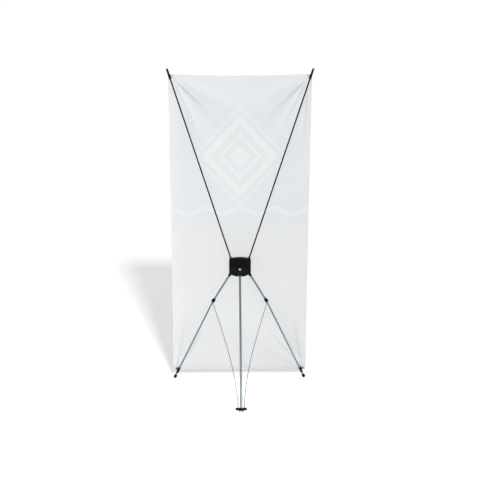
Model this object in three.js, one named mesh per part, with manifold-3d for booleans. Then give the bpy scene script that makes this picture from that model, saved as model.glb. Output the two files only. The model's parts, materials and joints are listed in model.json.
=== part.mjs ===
// An x banner stand: a moulded hub carries two slim poles that rise to the banner's top
// corners and three legs that fold, and a printed sheet hangs on four hooks at their ends.
// Millimetres, +Z up, the floor at z = 0. The printed side faces -Y and the rear leg stands
// towards +Y. "Left" is the stand's own left, at +X.
import * as THREE from 'three';
import { mergeVertices } from 'three/addons/utils/BufferGeometryUtils.js';
import Module from 'manifold-3d';

const wasm = await Module();
wasm.setup();

// Driving sizes of the stand as it is set up
const banner = {
  width: 800,
  height: 1800,
  thickness: 0.8,
  bottom: 48,
  leanDegrees: 7,
  topSag: 10,
  bottomSag: 4,
  sideSag: 2,
};
const stance = {
  hubUp: 692,
  hubBack: 75,
  footInside: 10,
  footBack: 7,
  rearFootBack: 577,
  tipAbove: 32,
  tipOut: 5,
  tipBack: 12,
};

// Fits that every piece shares
const fit = {
  seat: 0.3,
  running: 0.25,
  parting: 0.3,
  overrun: 2,
};

const hub = {
  width: 126,
  upperCrest: 57.5,
  upperShoulder: 51.5,
  lowerCrest: 60.8,
  lowerShoulder: 47.5,
  corner: 12.5,
  depth: 22,
  step: 0.8,
  edge: 2,
  floor: 2.5,
  pinWall: 1,
};
const channel = {
  radius: 7.6,
  axisDepth: 6,
  start: 7,
};
const rearSlot = {
  width: 15,
  top: 37.2,
  frontReach: 5,
  panelWidth: 36,
  panelDepth: 2,
};
const rivet = {
  down: 13,
  shank: 6,
  head: 14.5,
  headRise: 2.6,
  tailHead: 11,
  tailRise: 1.6,
};
const shellScrew = {
  upperFromSide: 43,
  lowerFromSide: 38,
  upperFromCrest: 20.5,
  lowerFromCrest: 23.8,
  head: 7,
  headRise: 2.4,
  counterbore: 8,
  counterboreDepth: 3,
  shank: 3.2,
  length: 15,
};

const pivotPin = {
  diameter: 4,
  edge: 0.4,
  rearLength: 26,
};
const polePivot = {
  fromSide: 15.6,
  fromCrest: 23.5,
  eye: 17,
  barrel: 12,
  rimIn: 1,
  rimAlong: 1,
  reach: 27,
  boreStart: 11,
};
const legPivot = {
  fromSide: 13.3,
  fromCrest: 24.8,
  eye: 19,
  barrel: 16.2,
  rimIn: 2.1,
  rimAlong: 5,
  reach: 27,
  boreStart: 11,
};
const rearPivot = {
  fromCrest: 14.8,
  back: 3,
  eye: 15,
  plug: 10,
  plugReach: 38,
  shoulder: 17.5,
};

const pole = {
  diameter: 8,
};
const cap = {
  diameter: 12.4,
  mouth: 13.2,
  mouthLength: 5,
  mouthTaper: 5,
  length: 62,
  boreDepth: 46,
  neck: 10,
  grooveFrom: 15,
  grooveLow: 12,
  grooveHigh: 9,
  grooveTo: 6,
  crown: 2.5,
  crownDiameter: 8.4,
  crownRise: 0.6,
};
const leg = {
  upperDiameter: 10.8,
  lowerDiameter: 9.4,
  wall: 1,
  kneeAt: 209,
  kneeTurnDegrees: 5.45,
};
const collar = {
  half: 12.5,
  top: 15,
  shoulder: 19,
  shoulderUp: 4,
  bell: 22,
  bellFrom: 3,
  bellTo: 8,
  rim: 19,
  depthShare: 0.86,
  notch: 5,
  stop: 2,
  lip: 1,
  armDiameter: 6,
  cordOut: 3.5,
  cordDown: 6,
  cordBehind: 11,
};
const cordBoss = {
  diameter: 6.6,
  length: 8,
  bore: 4,
  depth: 4,
};
const sleeve = {
  diameter: 15.5,
  length: 38,
  footGap: 8.5,
  lip: 1,
  notch: 6,
  tabWidth: 6,
  tabThickness: 4.6,
  tabLength: 14,
  tabOut: 5,
  tabBelow: 15,
  tabLeanDegrees: 15,
};
const footCap = {
  diameter: 17.5,
  length: 21.5,
  boreDepth: 12,
  lip: 1,
  flat: 0.3,
};
const rearLeg = {
  diameter: 12.4,
  wall: 1.1,
};
const rearFoot = {
  width: 63.5,
  height: 12.4,
  depth: 13,
  round: 4,
  edge: 2,
  clearance: 5.8,
  socket: 15.4,
  socketAbove: 6,
  socketBelow: 2.5,
  socketFloor: 1.5,
  stud: 12.5,
  studOut: 7.4,
  cordOut: 17,
  cordAhead: 6,
  cordAbove: 3,
  lip: 1,
};
const hook = {
  gauge: 4.4,
  poleStem: 5.8,
  sleeveStem: 7.8,
  rootOut: 1.5,
  rootForward: 1.5,
  poleRootAbove: 8,
  stemClear: 2,
  ahead: 3.9,
  tipOut: 3.2,
  tipAlong: 7,
  tipRise: 1.4,
  bendShare: 0.25,
};
const grommet = {
  hole: 9,
  barrelWall: 0.7,
  flange: 15.5,
  flangeThickness: 0.7,
  roll: 0.4,
  fromSide: 18.5,
  fromEnd: 13,
};

// The stays are stiff cords: their routes are points chosen by hand, from the left collar
// to the rear foot, and the right one mirrors them
const stay = {
  diameter: 3.4,
  sides: 8,
  steps: 32,
};
const stayRoute = [
  [160.2, 123.9, 507.7], [144.6, 156, 465], [131, 188, 430], [117, 219, 396], [103.7, 251, 362],
  [90.7, 283, 327], [78.3, 315, 293], [66, 347, 258], [55.3, 378, 224], [46, 410, 190],
  [37.5, 442, 155], [30.3, 474, 121], [24.3, 506, 87], [20, 537, 52], [17, 571, 15],
];

// Faceting
const roundSteps = 18;
const rodSteps = 16;
const smallSteps = 12;
const arcSteps = 4;
const weldShare = 1e-5;

const sides = [['left', 1], ['right', -1]];
const degrees = THREE.MathUtils.degToRad;

// Helpers for closed solids

function welded(geometry) {
  const bare = geometry.clone();
  for (const name of Object.keys(bare.attributes)) {
    if (name !== 'position') bare.deleteAttribute(name);
  }
  const merged = mergeVertices(bare, hub.width * weldShare);
  const corners = merged.index.array;
  const kept = [];
  for (let i = 0; i < corners.length; i += 3) {
    const [a, b, c] = corners.slice(i, i + 3);
    if (a !== b && b !== c && c !== a) kept.push(a, b, c);
  }
  merged.setIndex(kept);
  return merged;
}

function solid(geometry) {
  const closed = welded(geometry);
  return new wasm.Manifold(new wasm.Mesh({
    numProp: 3,
    vertProperties: new Float32Array(closed.attributes.position.array),
    triVerts: new Uint32Array(closed.index.array),
  }));
}

function surface(manifold) {
  const mesh = manifold.getMesh();
  const geometry = new THREE.BufferGeometry();
  geometry.setAttribute('position', new THREE.BufferAttribute(mesh.vertProperties, 3));
  geometry.setIndex(new THREE.BufferAttribute(mesh.triVerts, 1));
  return geometry;
}

function joined(...geometries) {
  return surface(geometries.map(solid).reduce((whole, next) => whole.add(next)));
}

function cut(geometry, ...tools) {
  return surface(tools.map(solid).reduce((left, tool) => left.subtract(tool), solid(geometry)));
}

function shared(geometry, tool) {
  return surface(solid(geometry).intersect(solid(tool)));
}

function revolved(profile, steps = roundSteps) {
  return new THREE.LatheGeometry(profile.map(([r, y]) => new THREE.Vector2(r, y)), steps);
}

// A round bar along Y, from one height to another, with broken edges
function bar(diameter, from, to, edge = 0, steps = roundSteps) {
  const r = diameter / 2;
  if (edge === 0) return revolved([[0, from], [r, from], [r, to], [0, to]], steps);
  return revolved([
    [0, from], [r - edge, from], [r, from + edge], [r, to - edge], [r - edge, to], [0, to],
  ], steps);
}

function tube(outside, wall, from, to, steps = rodSteps) {
  const r = outside / 2;
  const bore = r - wall;
  return revolved([[bore, from], [r, from], [r, to], [bore, to], [bore, from]], steps);
}

function alongZ(geometry) {
  return geometry.rotateX(Math.PI / 2);
}

function alongX(geometry) {
  return geometry.rotateZ(Math.PI / 2);
}

function block(width, height, depth) {
  return new THREE.BoxGeometry(width, height, depth);
}

function circle(radius, steps) {
  return new THREE.Shape(Array.from({ length: steps }, (_, i) => {
    const turn = (2 * Math.PI * i) / steps;
    return new THREE.Vector2(radius * Math.cos(turn), radius * Math.sin(turn));
  }));
}

function wire(points, diameter, sideCount, steps) {
  const path = new THREE.CatmullRomCurve3(points, false, 'centripetal');
  return new THREE.ExtrudeGeometry(circle(diameter / 2, sideCount), {
    extrudePath: path,
    steps,
  });
}

// Where the main points lie, worked out from the driving sizes

function onBanner(x, up, back) {
  const lean = degrees(banner.leanDegrees);
  return new THREE.Vector3(
    x,
    up * Math.sin(lean) + back * Math.cos(lean),
    banner.bottom + up * Math.cos(lean) - back * Math.sin(lean),
  );
}

const footRadius = footCap.diameter / 2;
const crease = onBanner(0, stance.hubUp, stance.hubBack);
const footPoint = new THREE.Vector3(0, stance.footBack, footRadius - footCap.flat);
const poleTop = onBanner(0, banner.height + stance.tipAbove, stance.tipBack);
const legsLean = Math.atan2(crease.y - footPoint.y, crease.z - footPoint.z);
const polesLean = Math.atan2(poleTop.y - crease.y, poleTop.z - crease.z);
const hubBend = legsLean - polesLean;

// Each plane is a group whose local Y runs up it and whose local Z faces the printed side
const stand = new THREE.Group();

function leaningPlane(at, lean) {
  const plane = new THREE.Group();
  plane.position.copy(at);
  plane.rotation.x = Math.PI / 2 - lean;
  stand.add(plane);
  return plane;
}

const polesPlane = leaningPlane(crease, polesLean);
const legsPlane = leaningPlane(crease, legsLean);
const bannerPlane = leaningPlane(onBanner(0, 0, 0), degrees(banner.leanDegrees));

function turnedGroup(parent, x, y, turn) {
  const group = new THREE.Group();
  group.position.set(x, y, 0);
  group.rotation.z = turn;
  parent.add(group);
  return group;
}

// Poles: local +Y runs from the pivot to the tip
const polePivotX = hub.width / 2 - polePivot.fromSide;
const polePivotUp = hub.upperCrest - polePivot.fromCrest;
const tipX = banner.width / 2 + stance.tipOut;
const tipUp = crease.distanceTo(poleTop);
const poleSplay = Math.atan2(tipX - polePivotX, tipUp - polePivotUp);
const poleLength = Math.hypot(tipX - polePivotX, tipUp - polePivotUp);

// Legs: local -Y runs from the pivot to the knee, and on to the foot below it
const legPivotX = hub.width / 2 - legPivot.fromSide;
const legPivotDown = hub.lowerCrest - legPivot.fromCrest;
const rearPivotDown = hub.lowerCrest - rearPivot.fromCrest;
const kneeTurn = degrees(leg.kneeTurnDegrees);
const footX = banner.width / 2 - stance.footInside;
const footDown = crease.distanceTo(footPoint);
const legReach = Math.hypot(footX - legPivotX, footDown - legPivotDown);
const kneeOff = leg.kneeAt * Math.sin(kneeTurn);
const shinLength = Math.sqrt(legReach ** 2 - kneeOff ** 2) - leg.kneeAt * Math.cos(kneeTurn);
const legSplay = Math.atan2(footX - legPivotX, footDown - legPivotDown)
  + Math.asin((shinLength * Math.sin(kneeTurn)) / legReach);

const finishes = {
  mouldedBlack: { color: 0x17181a, roughness: 0.55, metalness: 0 },
  fibreglass: { color: 0x08090a, roughness: 0.35, metalness: 0 },
  aluminium: { color: 0x9aa3a6, roughness: 0.35, metalness: 0.9 },
  steel: { color: 0xb9bfc1, roughness: 0.25, metalness: 1 },
  rubber: { color: 0x111213, roughness: 0.8, metalness: 0 },
  cord: { color: 0x9a9da0, roughness: 0.5, metalness: 0 },
  sheet: { color: 0xeceef0, roughness: 0.6, metalness: 0 },
};

function add(parent, name, geometry, finish) {
  const mesh = new THREE.Mesh(geometry, new THREE.MeshStandardMaterial(finishes[finish]));
  mesh.name = name;
  mesh.material.side = finish === 'sheet' ? THREE.DoubleSide : THREE.FrontSide;
  parent.add(mesh);
  return mesh;
}

// Hub shells

function crestRadius(crest, shoulder) {
  const reach = hub.width / 2 - hub.corner;
  const rise = crest - shoulder;
  return (reach * reach + rise * rise) / (2 * rise);
}

// One half of the hub's face: straight sides from the crease, a round corner and an arched
// end. upwards is 1 above the crease and -1 below it
function hubOutline(upwards, overlap) {
  const outline = new THREE.Shape();
  const side = hub.width / 2;
  const inner = side - hub.corner;
  const crest = upwards > 0 ? hub.upperCrest : hub.lowerCrest;
  const shoulder = upwards > 0 ? hub.upperShoulder : hub.lowerShoulder;
  const radius = crestRadius(crest, shoulder);
  const centre = upwards * (crest - radius);
  const swing = Math.asin(inner / radius);
  const turnAt = shoulder - hub.corner * Math.tan(swing);
  const middle = upwards * Math.PI / 2;
  outline.moveTo(-side, -upwards * overlap);
  outline.lineTo(side, -upwards * overlap);
  outline.lineTo(side, upwards * (shoulder - hub.corner));
  outline.quadraticCurveTo(side, upwards * turnAt, inner, upwards * shoulder);
  outline.absarc(0, centre, radius, middle - upwards * swing, middle + upwards * swing, upwards < 0);
  outline.quadraticCurveTo(-side, upwards * turnAt, -side, upwards * (shoulder - hub.corner));
  outline.closePath();
  return outline;
}

// The half from the parting face to the outer face, which has a rounded edge
function halfPlate(upwards, facing, depth, overlap) {
  const plate = new THREE.ExtrudeGeometry(hubOutline(upwards, overlap + hub.edge), {
    depth: 2 * depth - 2 * hub.edge,
    bevelSize: hub.edge,
    bevelOffset: -hub.edge,
    bevelThickness: hub.edge,
    bevelSegments: arcSteps / 2,
    curveSegments: 2 * arcSteps,
  });
  plate.translate(0, 0, hub.edge - depth);
  const keep = block(2 * hub.width, 2 * hub.width, depth + fit.overrun);
  const parting = fit.parting / 2;
  keep.translate(
    0,
    upwards * (hub.width - overlap),
    facing * ((depth + fit.overrun) / 2 + parting),
  );
  return shared(plate, keep);
}

// What a knuckle sweeps as it folds, cut a little larger than the knuckle
function sweep(pivot, from, to, towards, height) {
  const radius = pivot.barrel / 2 + fit.running;
  const far = hub.width;
  const pieces = [alongZ(bar(pivot.eye + 2 * fit.running, -height, height))];
  for (const turn of [from, to]) {
    const arm = block(2 * radius, far, 2 * height);
    pieces.push(arm.translate(0, towards * far / 2, 0).rotateZ(turn));
  }
  const wedge = new THREE.Shape([
    new THREE.Vector2(0, 0),
    new THREE.Vector2(-towards * far * Math.sin(from), towards * far * Math.cos(from)),
    new THREE.Vector2(-towards * far * Math.sin(to), towards * far * Math.cos(to)),
  ]);
  const web = new THREE.ExtrudeGeometry(wedge, { depth: 2 * height, bevelEnabled: false });
  pieces.push(web.translate(0, 0, -height));
  return joined(...pieces);
}

const cavity = hub.depth / 2 - hub.floor;

function poleRoom(side) {
  return sweep(polePivot, -side * poleSplay, 0, 1, cavity)
    .translate(side * polePivotX, polePivotUp, 0);
}

function legRoom(side) {
  return sweep(legPivot, side * legSplay, 0, -1, cavity)
    .translate(side * legPivotX, -legPivotDown, 0);
}

const pinReach = hub.depth / 2 - hub.pinWall;

function pinHole(x, y) {
  const bore = bar(pivotPin.diameter + 2 * fit.running, -pinReach, pinReach, 0, smallSteps);
  return alongZ(bore).translate(x, y, 0);
}

function intoLegsFrame(geometry) {
  return geometry.rotateX(hubBend);
}

// A raised half-round rib over the channel in which a pole lies when the stand is open
function channelRib(side) {
  const rib = bar(2 * channel.radius, channel.start - polePivotUp, hub.width);
  rib.rotateZ(-side * poleSplay);
  rib.translate(side * polePivotX, polePivotUp, -channel.axisDepth);
  const trimmed = new THREE.ExtrudeGeometry(hubOutline(1, 0), {
    depth: channel.axisDepth + channel.radius,
    bevelEnabled: false,
    curveSegments: 2 * arcSteps,
  });
  trimmed.translate(0, 0, -channel.axisDepth - channel.radius);
  return shared(rib, trimmed);
}

const screwSpots = sides.flatMap(([name, side]) => [
  {
    name: `${name}_upper_shell_screw`,
    x: side * (hub.width / 2 - shellScrew.upperFromSide),
    y: hub.upperCrest - shellScrew.upperFromCrest,
    upper: true,
  },
  {
    name: `${name}_lower_shell_screw`,
    x: side * (hub.width / 2 - shellScrew.lowerFromSide),
    y: shellScrew.lowerFromCrest - hub.lowerCrest,
    upper: false,
  },
]);

// A screw's hole in both shells: pilot, shank and counterbore
function screwHole(spot) {
  const front = hub.depth / 2;
  const seat = front - shellScrew.counterboreDepth;
  const hole = joined(
    bar(shellScrew.shank + 2 * fit.running, seat - shellScrew.length - fit.overrun, front, 0, smallSteps),
    bar(shellScrew.counterbore, seat, front + fit.overrun, 0, smallSteps),
  );
  alongZ(hole).translate(spot.x, spot.y, 0);
  return spot.upper ? intoLegsFrame(hole) : hole;
}

function rivetHole() {
  const bore = bar(rivet.shank + 2 * fit.running, -hub.depth, hub.depth, 0, smallSteps);
  return alongZ(bore).translate(0, -rivet.down, 0);
}

function rearLegRoom() {
  const tall = hub.width;
  const front = rearSlot.frontReach;
  const slot = block(rearSlot.width, tall, hub.depth + front);
  slot.translate(0, -rearSlot.top - tall / 2, front - (hub.depth + front) / 2);
  return slot;
}

// The shallow panel round the rivet, which runs down to the bottom edge
function rivetPanel() {
  const depth = rearSlot.panelDepth;
  const disc = alongZ(bar(rearSlot.panelWidth, -depth, depth));
  const strip = block(rearSlot.panelWidth, hub.width, 2 * depth).translate(0, -hub.width / 2, 0);
  return joined(disc, strip).translate(0, -rivet.down, -hub.depth / 2);
}

function hubShell(facing) {
  const depth = hub.depth / 2;
  const upperDepth = facing < 0 ? depth + hub.step : depth;
  const overlap = depth * Math.tan(hubBend) + fit.parting;
  let upper = halfPlate(1, facing, upperDepth, overlap);
  if (facing < 0) upper = joined(upper, channelRib(1), channelRib(-1));
  upper = cut(
    upper,
    poleRoom(1),
    poleRoom(-1),
    pinHole(polePivotX, polePivotUp),
    pinHole(-polePivotX, polePivotUp),
  );
  const lower = halfPlate(-1, facing, depth, 0);
  const shell = cut(
    joined(intoLegsFrame(upper), lower),
    legRoom(1),
    legRoom(-1),
    pinHole(legPivotX, -legPivotDown),
    pinHole(-legPivotX, -legPivotDown),
    rivetHole(),
    rearLegRoom(),
    ...screwSpots.map(screwHole),
  );
  if (facing > 0) return shell;
  const pinRoom = alongX(bar(
    pivotPin.diameter + 2 * fit.running,
    -pivotPin.rearLength / 2 - fit.seat,
    pivotPin.rearLength / 2 + fit.seat,
    0,
    smallSteps,
  ));
  pinRoom.translate(0, -rearPivotDown, -rearPivot.back);
  return cut(shell, rivetPanel(), pinRoom);
}

add(legsPlane, 'hub_rear_shell', hubShell(-1), 'mouldedBlack');
add(legsPlane, 'hub_front_shell', hubShell(1), 'mouldedBlack');

// Rivet through both shells, with a domed head behind and a rolled tail in front
function rivetBody() {
  const back = -hub.depth / 2 + rearSlot.panelDepth - fit.seat;
  const front = hub.depth / 2 + fit.seat;
  const shank = rivet.shank / 2;
  const head = rivet.head / 2;
  const tail = rivet.tailHead / 2;
  const dome = Array.from({ length: arcSteps + 1 }, (_, i) => {
    const turn = (Math.PI / 2) * (i / arcSteps);
    return [head * Math.sin(turn), back - rivet.headRise * Math.cos(turn)];
  });
  return alongZ(revolved([
    ...dome,
    [shank, back],
    [shank, front],
    [tail, front],
    [tail, front + rivet.tailRise / 2],
    [shank, front + rivet.tailRise],
    [0, front + rivet.tailRise],
  ]));
}

add(legsPlane, 'centre_rivet', rivetBody(), 'steel').position.y = -rivet.down;

function screwBody() {
  const seat = hub.depth / 2 - shellScrew.counterboreDepth;
  const head = shellScrew.head / 2;
  const shank = shellScrew.shank / 2;
  const under = seat + fit.seat;
  return alongZ(revolved([
    [0, seat - shellScrew.length],
    [shank / 2, seat - shellScrew.length],
    [shank, seat - shellScrew.length + shellScrew.shank],
    [shank, under],
    [head, under],
    [head, under + shellScrew.headRise / 2],
    [head / 2, under + shellScrew.headRise],
    [0, under + shellScrew.headRise],
  ], smallSteps));
}

for (const spot of screwSpots) {
  const screw = add(spot.upper ? polesPlane : legsPlane, spot.name, screwBody(), 'steel');
  screw.position.set(spot.x, spot.y, 0);
}

// Pivot pins lie in blind holes of the two shells
function pin(length) {
  return bar(pivotPin.diameter, -length / 2, length / 2, pivotPin.edge, smallSteps);
}

const crossPinLength = 2 * (pinReach - fit.seat);

// A knuckle: an eye round its pin, and a socket barrel towards local Y times towards, whose
// rim is rounded over
function knuckle(pivot, inserted, towards) {
  const height = cavity - fit.running;
  const eye = alongZ(bar(pivot.eye, -height, height, fit.seat));
  const rim = Array.from({ length: arcSteps }, (_, i) => {
    const turn = (Math.PI / 2) * (i / (arcSteps - 1));
    return [
      pivot.barrel / 2 - pivot.rimIn * (1 - Math.cos(turn)),
      pivot.reach - pivot.rimAlong * (1 - Math.sin(turn)),
    ];
  });
  const barrel = revolved([[0, 0], [pivot.barrel / 2, 0], ...rim, [0, pivot.reach]]);
  const bore = bar(inserted + 2 * fit.seat, pivot.boreStart, pivot.reach + fit.overrun, 0);
  const pinBore = alongZ(bar(
    pivotPin.diameter + 2 * fit.running, -hub.depth, hub.depth, 0, smallSteps,
  ));
  const whole = cut(joined(eye, barrel), bore, pinBore);
  return towards > 0 ? whole : whole.rotateZ(Math.PI);
}

// A hook: a thick stem from the wall that carries it to a round knob behind the grommet, and
// a finger from there through the grommet to its tip. seat is the grommet's centre, bearX
// and bearY the way in which the sheet's pull bears
function hookBody(root, seat, bearX, bearY, stem) {
  const play = (grommet.hole - hook.gauge) / 2 - fit.seat;
  const eyeX = seat.x + bearX * play * Math.SQRT1_2;
  const eyeY = seat.y + bearY * play * Math.SQRT1_2;
  const tip = new THREE.Vector3(
    eyeX + bearX * hook.tipOut,
    eyeY + bearY * hook.tipAlong,
    seat.z + hook.ahead + hook.tipRise,
  );
  const bend = new THREE.Vector3(
    eyeX + bearX * hook.tipOut * hook.bendShare,
    eyeY + bearY * hook.tipAlong * hook.bendShare,
    seat.z + hook.ahead,
  );
  const knobAt = new THREE.Vector3(eyeX, eyeY, seat.z - stem / 2 - hook.stemClear);
  const arm = wire([root, knobAt], stem, 3 * arcSteps, 1);
  const knob = new THREE.SphereGeometry(stem / 2, 3 * arcSteps, arcSteps + 1);
  const finger = wire(
    [knobAt, new THREE.Vector3(eyeX, eyeY, seat.z), bend, tip],
    hook.gauge,
    2 * arcSteps,
    arcSteps + 2,
  );
  const ball = new THREE.SphereGeometry(hook.gauge / 2, 2 * arcSteps, arcSteps);
  return joined(
    arm,
    knob.translate(knobAt.x, knobAt.y, knobAt.z),
    finger,
    ball.translate(tip.x, tip.y, tip.z),
  );
}

const ends = ['top', 'bottom'];

function grommetPoint(side, end) {
  const up = end === 'top' ? banner.height - grommet.fromEnd : grommet.fromEnd;
  return new THREE.Vector3(side * (banner.width / 2 - grommet.fromSide), up, 0);
}

function seatIn(group, side, end) {
  stand.updateMatrixWorld(true);
  return group.worldToLocal(bannerPlane.localToWorld(grommetPoint(side, end)));
}

// Pole tip: a moulded cap with a neck, a rounded crown and the hook on its inner side
function poleCap(seat, side) {
  const start = poleLength - cap.length;
  const body = revolved([
    [0, start],
    [cap.mouth / 2 - fit.seat, start],
    [cap.mouth / 2, start + fit.seat],
    [cap.mouth / 2, start + cap.mouthLength],
    [cap.diameter / 2, start + cap.mouthLength + cap.mouthTaper],
    [cap.diameter / 2, poleLength - cap.grooveFrom],
    [cap.neck / 2, poleLength - cap.grooveLow],
    [cap.neck / 2, poleLength - cap.grooveHigh],
    [cap.diameter / 2, poleLength - cap.grooveTo],
    [cap.diameter / 2, poleLength - cap.crown],
    [cap.crownDiameter / 2, poleLength - cap.crownRise],
    [0, poleLength],
  ], rodSteps);
  const root = new THREE.Vector3(
    -side * hook.rootOut, seat.y + hook.poleRootAbove, hook.rootForward,
  );
  const bore = bar(pole.diameter + 2 * fit.seat, start - fit.overrun, start + cap.boreDepth, 0, rodSteps);
  return cut(joined(body, hookBody(root, seat, side, 1, hook.poleStem)), bore);
}

for (const [name, side] of sides) {
  const group = turnedGroup(polesPlane, side * polePivotX, polePivotUp, -side * poleSplay);
  add(group, `${name}_pole_knuckle`, knuckle(polePivot, pole.diameter, 1), 'mouldedBlack');
  const rodStart = polePivot.boreStart + fit.seat;
  const rodEnd = poleLength - cap.length + cap.boreDepth - fit.seat;
  const rod = bar(pole.diameter, rodStart, rodEnd, fit.seat, rodSteps);
  add(group, `${name}_pole_rod`, rod, 'fibreglass');
  add(group, `${name}_pole_hook_cap`, poleCap(seatIn(group, side, 'top'), side), 'mouldedBlack');
  add(group, `${name}_pole_pivot_pin`, alongZ(pin(crossPinLength)), 'steel');
}

// Leg knee: a bell-shaped collar with a socket for each tube, the lower one turned a little
// further down, a notch behind at each end in which the tube shows, and a boss behind that
// holds the stay cord's end
function cordHolder(at, towards) {
  const blind = cordBoss.length - cordBoss.depth;
  const turn = new THREE.Quaternion().setFromUnitVectors(new THREE.Vector3(0, 1, 0), towards);
  const holder = cut(
    bar(cordBoss.diameter, 0, cordBoss.length, fit.seat, smallSteps),
    bar(cordBoss.bore, blind, cordBoss.length + fit.overrun, 0, smallSteps),
  );
  holder.translate(0, -blind - fit.seat, 0);
  return holder.applyQuaternion(turn).translate(at.x, at.y, at.z);
}

// The way in which a stay leaves its boss, in the frame of the group that carries the boss
function stayDirection(group, side, index, next) {
  stand.updateMatrixWorld(true);
  const [end, beside] = [index, next].map((i) => {
    const [x, y, z] = stayRoute[i];
    return group.worldToLocal(new THREE.Vector3(side * x, y, z));
  });
  return beside.sub(end).normalize();
}

function kneeCollar(group, side) {
  const turn = -side * kneeTurn;
  const bell = revolved([
    [0, -collar.half],
    [collar.rim / 2 - collar.lip, -collar.half],
    [collar.rim / 2, collar.lip - collar.half],
    [collar.bell / 2, -collar.bellTo],
    [collar.bell / 2, -collar.bellFrom],
    [collar.shoulder / 2, collar.shoulderUp],
    [collar.top / 2, collar.half - collar.lip],
    [collar.top / 2 - collar.lip, collar.half],
    [0, collar.half],
  ]).scale(1, 1, collar.depthShare);
  const at = new THREE.Vector3(side * collar.cordOut, -collar.cordDown, -collar.cordBehind);
  const towards = stayDirection(group, side, 0, 1);
  const arm = wire([
    new THREE.Vector3(0, 0, 0),
    at.clone().divideScalar(2),
    at.clone().addScaledVector(towards, -fit.overrun),
  ], collar.armDiameter, smallSteps, 2);
  const upperBore = bar(
    leg.upperDiameter + 2 * fit.seat, collar.stop, collar.half + fit.overrun, 0, rodSteps,
  );
  const lowerBore = bar(
    leg.lowerDiameter + 2 * fit.seat, -collar.half - fit.overrun, -collar.stop, 0, rodSteps,
  ).rotateZ(turn);
  const notches = [1, -1].map((end) => {
    const room = block(leg.upperDiameter + 2 * fit.seat, 2 * collar.notch, collar.bell);
    return room.translate(0, end * collar.half, -collar.bell / 2);
  });
  const body = cut(joined(bell, arm), upperBore, lowerBore, ...notches);
  return cut(joined(body, cordHolder(at, towards)), cordRoom(at, towards));
}

function cordRoom(at, towards) {
  const turn = new THREE.Quaternion().setFromUnitVectors(new THREE.Vector3(0, 1, 0), towards);
  return bar(cordBoss.bore, -fit.seat, cordBoss.length + fit.overrun, 0, smallSteps)
    .applyQuaternion(turn)
    .translate(at.x, at.y, at.z);
}

// Lower hook: a sleeve pushed on to the lower tube, with the hook and a thumb tab on its
// outer side and a notch behind in which the tube shows
function hookSleeve(seat, side) {
  const low = footCap.length + sleeve.footGap - shinLength;
  const high = low + sleeve.length;
  const body = bar(sleeve.diameter, low, high, sleeve.lip);
  const root = new THREE.Vector3(side * hook.rootOut, seat.y, hook.rootForward);
  const tab = bar(sleeve.tabWidth, 0, sleeve.tabLength, sleeve.lip, smallSteps);
  tab.scale(1, 1, sleeve.tabThickness / sleeve.tabWidth);
  tab.rotateZ(-side * degrees(sleeve.tabLeanDegrees));
  tab.translate(side * sleeve.tabOut, high - sleeve.tabBelow, 0);
  const bore = bar(
    leg.lowerDiameter + 2 * fit.seat, low - fit.overrun, high + sleeve.tabLength, 0, rodSteps,
  );
  const notch = block(leg.lowerDiameter + 2 * fit.seat, 2 * sleeve.notch, sleeve.diameter);
  notch.translate(0, high, -sleeve.diameter / 2);
  const whole = joined(body, tab, hookBody(root, seat, side, -1, hook.sleeveStem));
  return cut(whole, bore, notch);
}

// Foot cap: a rounded boot whose ball is worn flat where it stands
function bootCap() {
  const r = footRadius;
  const top = footCap.length - r;
  const ball = Array.from({ length: arcSteps + 1 }, (_, i) => {
    const turn = (Math.PI / 2) * (i / arcSteps);
    return [r * Math.sin(turn), -r * Math.cos(turn)];
  });
  const boot = revolved([
    ...ball,
    [r, top - footCap.lip],
    [r - footCap.lip, top],
    [0, top],
  ]);
  const bore = bar(
    leg.lowerDiameter + 2 * fit.seat, top - footCap.boreDepth, top + fit.overrun, 0, rodSteps,
  );
  return cut(boot, bore);
}

function trimAtFloor(mesh) {
  stand.updateMatrixWorld(true);
  const below = block(banner.width, banner.width, banner.width);
  below.translate(0, 0, -banner.width / 2);
  const at = new THREE.Vector3().setFromMatrixPosition(mesh.matrixWorld);
  below.translate(at.x, at.y, 0);
  below.applyMatrix4(mesh.matrixWorld.clone().invert());
  mesh.geometry = cut(mesh.geometry, below);
}

for (const [name, side] of sides) {
  const group = turnedGroup(legsPlane, side * legPivotX, -legPivotDown, side * legSplay);
  add(group, `${name}_leg_knuckle`, knuckle(legPivot, leg.upperDiameter, -1), 'mouldedBlack');
  add(group, `${name}_leg_pivot_pin`, alongZ(pin(crossPinLength)), 'steel');
  const upperTube = tube(
    leg.upperDiameter,
    leg.wall,
    collar.stop + fit.seat - leg.kneeAt,
    -legPivot.boreStart - fit.seat,
  );
  add(group, `${name}_leg_upper_tube`, upperTube, 'aluminium');
  const knee = turnedGroup(group, 0, -leg.kneeAt, 0);
  add(knee, `${name}_knee_collar`, kneeCollar(knee, side), 'mouldedBlack');
  const shin = turnedGroup(knee, 0, 0, -side * kneeTurn);
  const bootTop = footCap.length - footRadius - shinLength;
  const lowerTube = tube(
    leg.lowerDiameter,
    leg.wall,
    bootTop - footCap.boreDepth + fit.seat,
    -collar.stop - fit.seat,
  );
  add(shin, `${name}_leg_lower_tube`, lowerTube, 'aluminium');
  const seat = seatIn(shin, side, 'bottom');
  add(shin, `${name}_hook_sleeve`, hookSleeve(seat, side), 'mouldedBlack');
  const boot = add(shin, `${name}_foot_cap`, bootCap(), 'rubber');
  boot.position.y = -shinLength;
  trimAtFloor(boot);
}

// Rear leg: local -Y runs from its pivot to the foot
const rearHinge = legsPlane.localToWorld(new THREE.Vector3(0, -rearPivotDown, -rearPivot.back));
const rearFootUp = rearFoot.clearance + rearFoot.height / 2;
const rearFootPoint = new THREE.Vector3(0, stance.rearFootBack, rearFootUp);
const rearLean = Math.atan2(rearFootPoint.y - rearHinge.y, rearHinge.z - rearFootPoint.z);
const rearLength = rearHinge.distanceTo(rearFootPoint);

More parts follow.
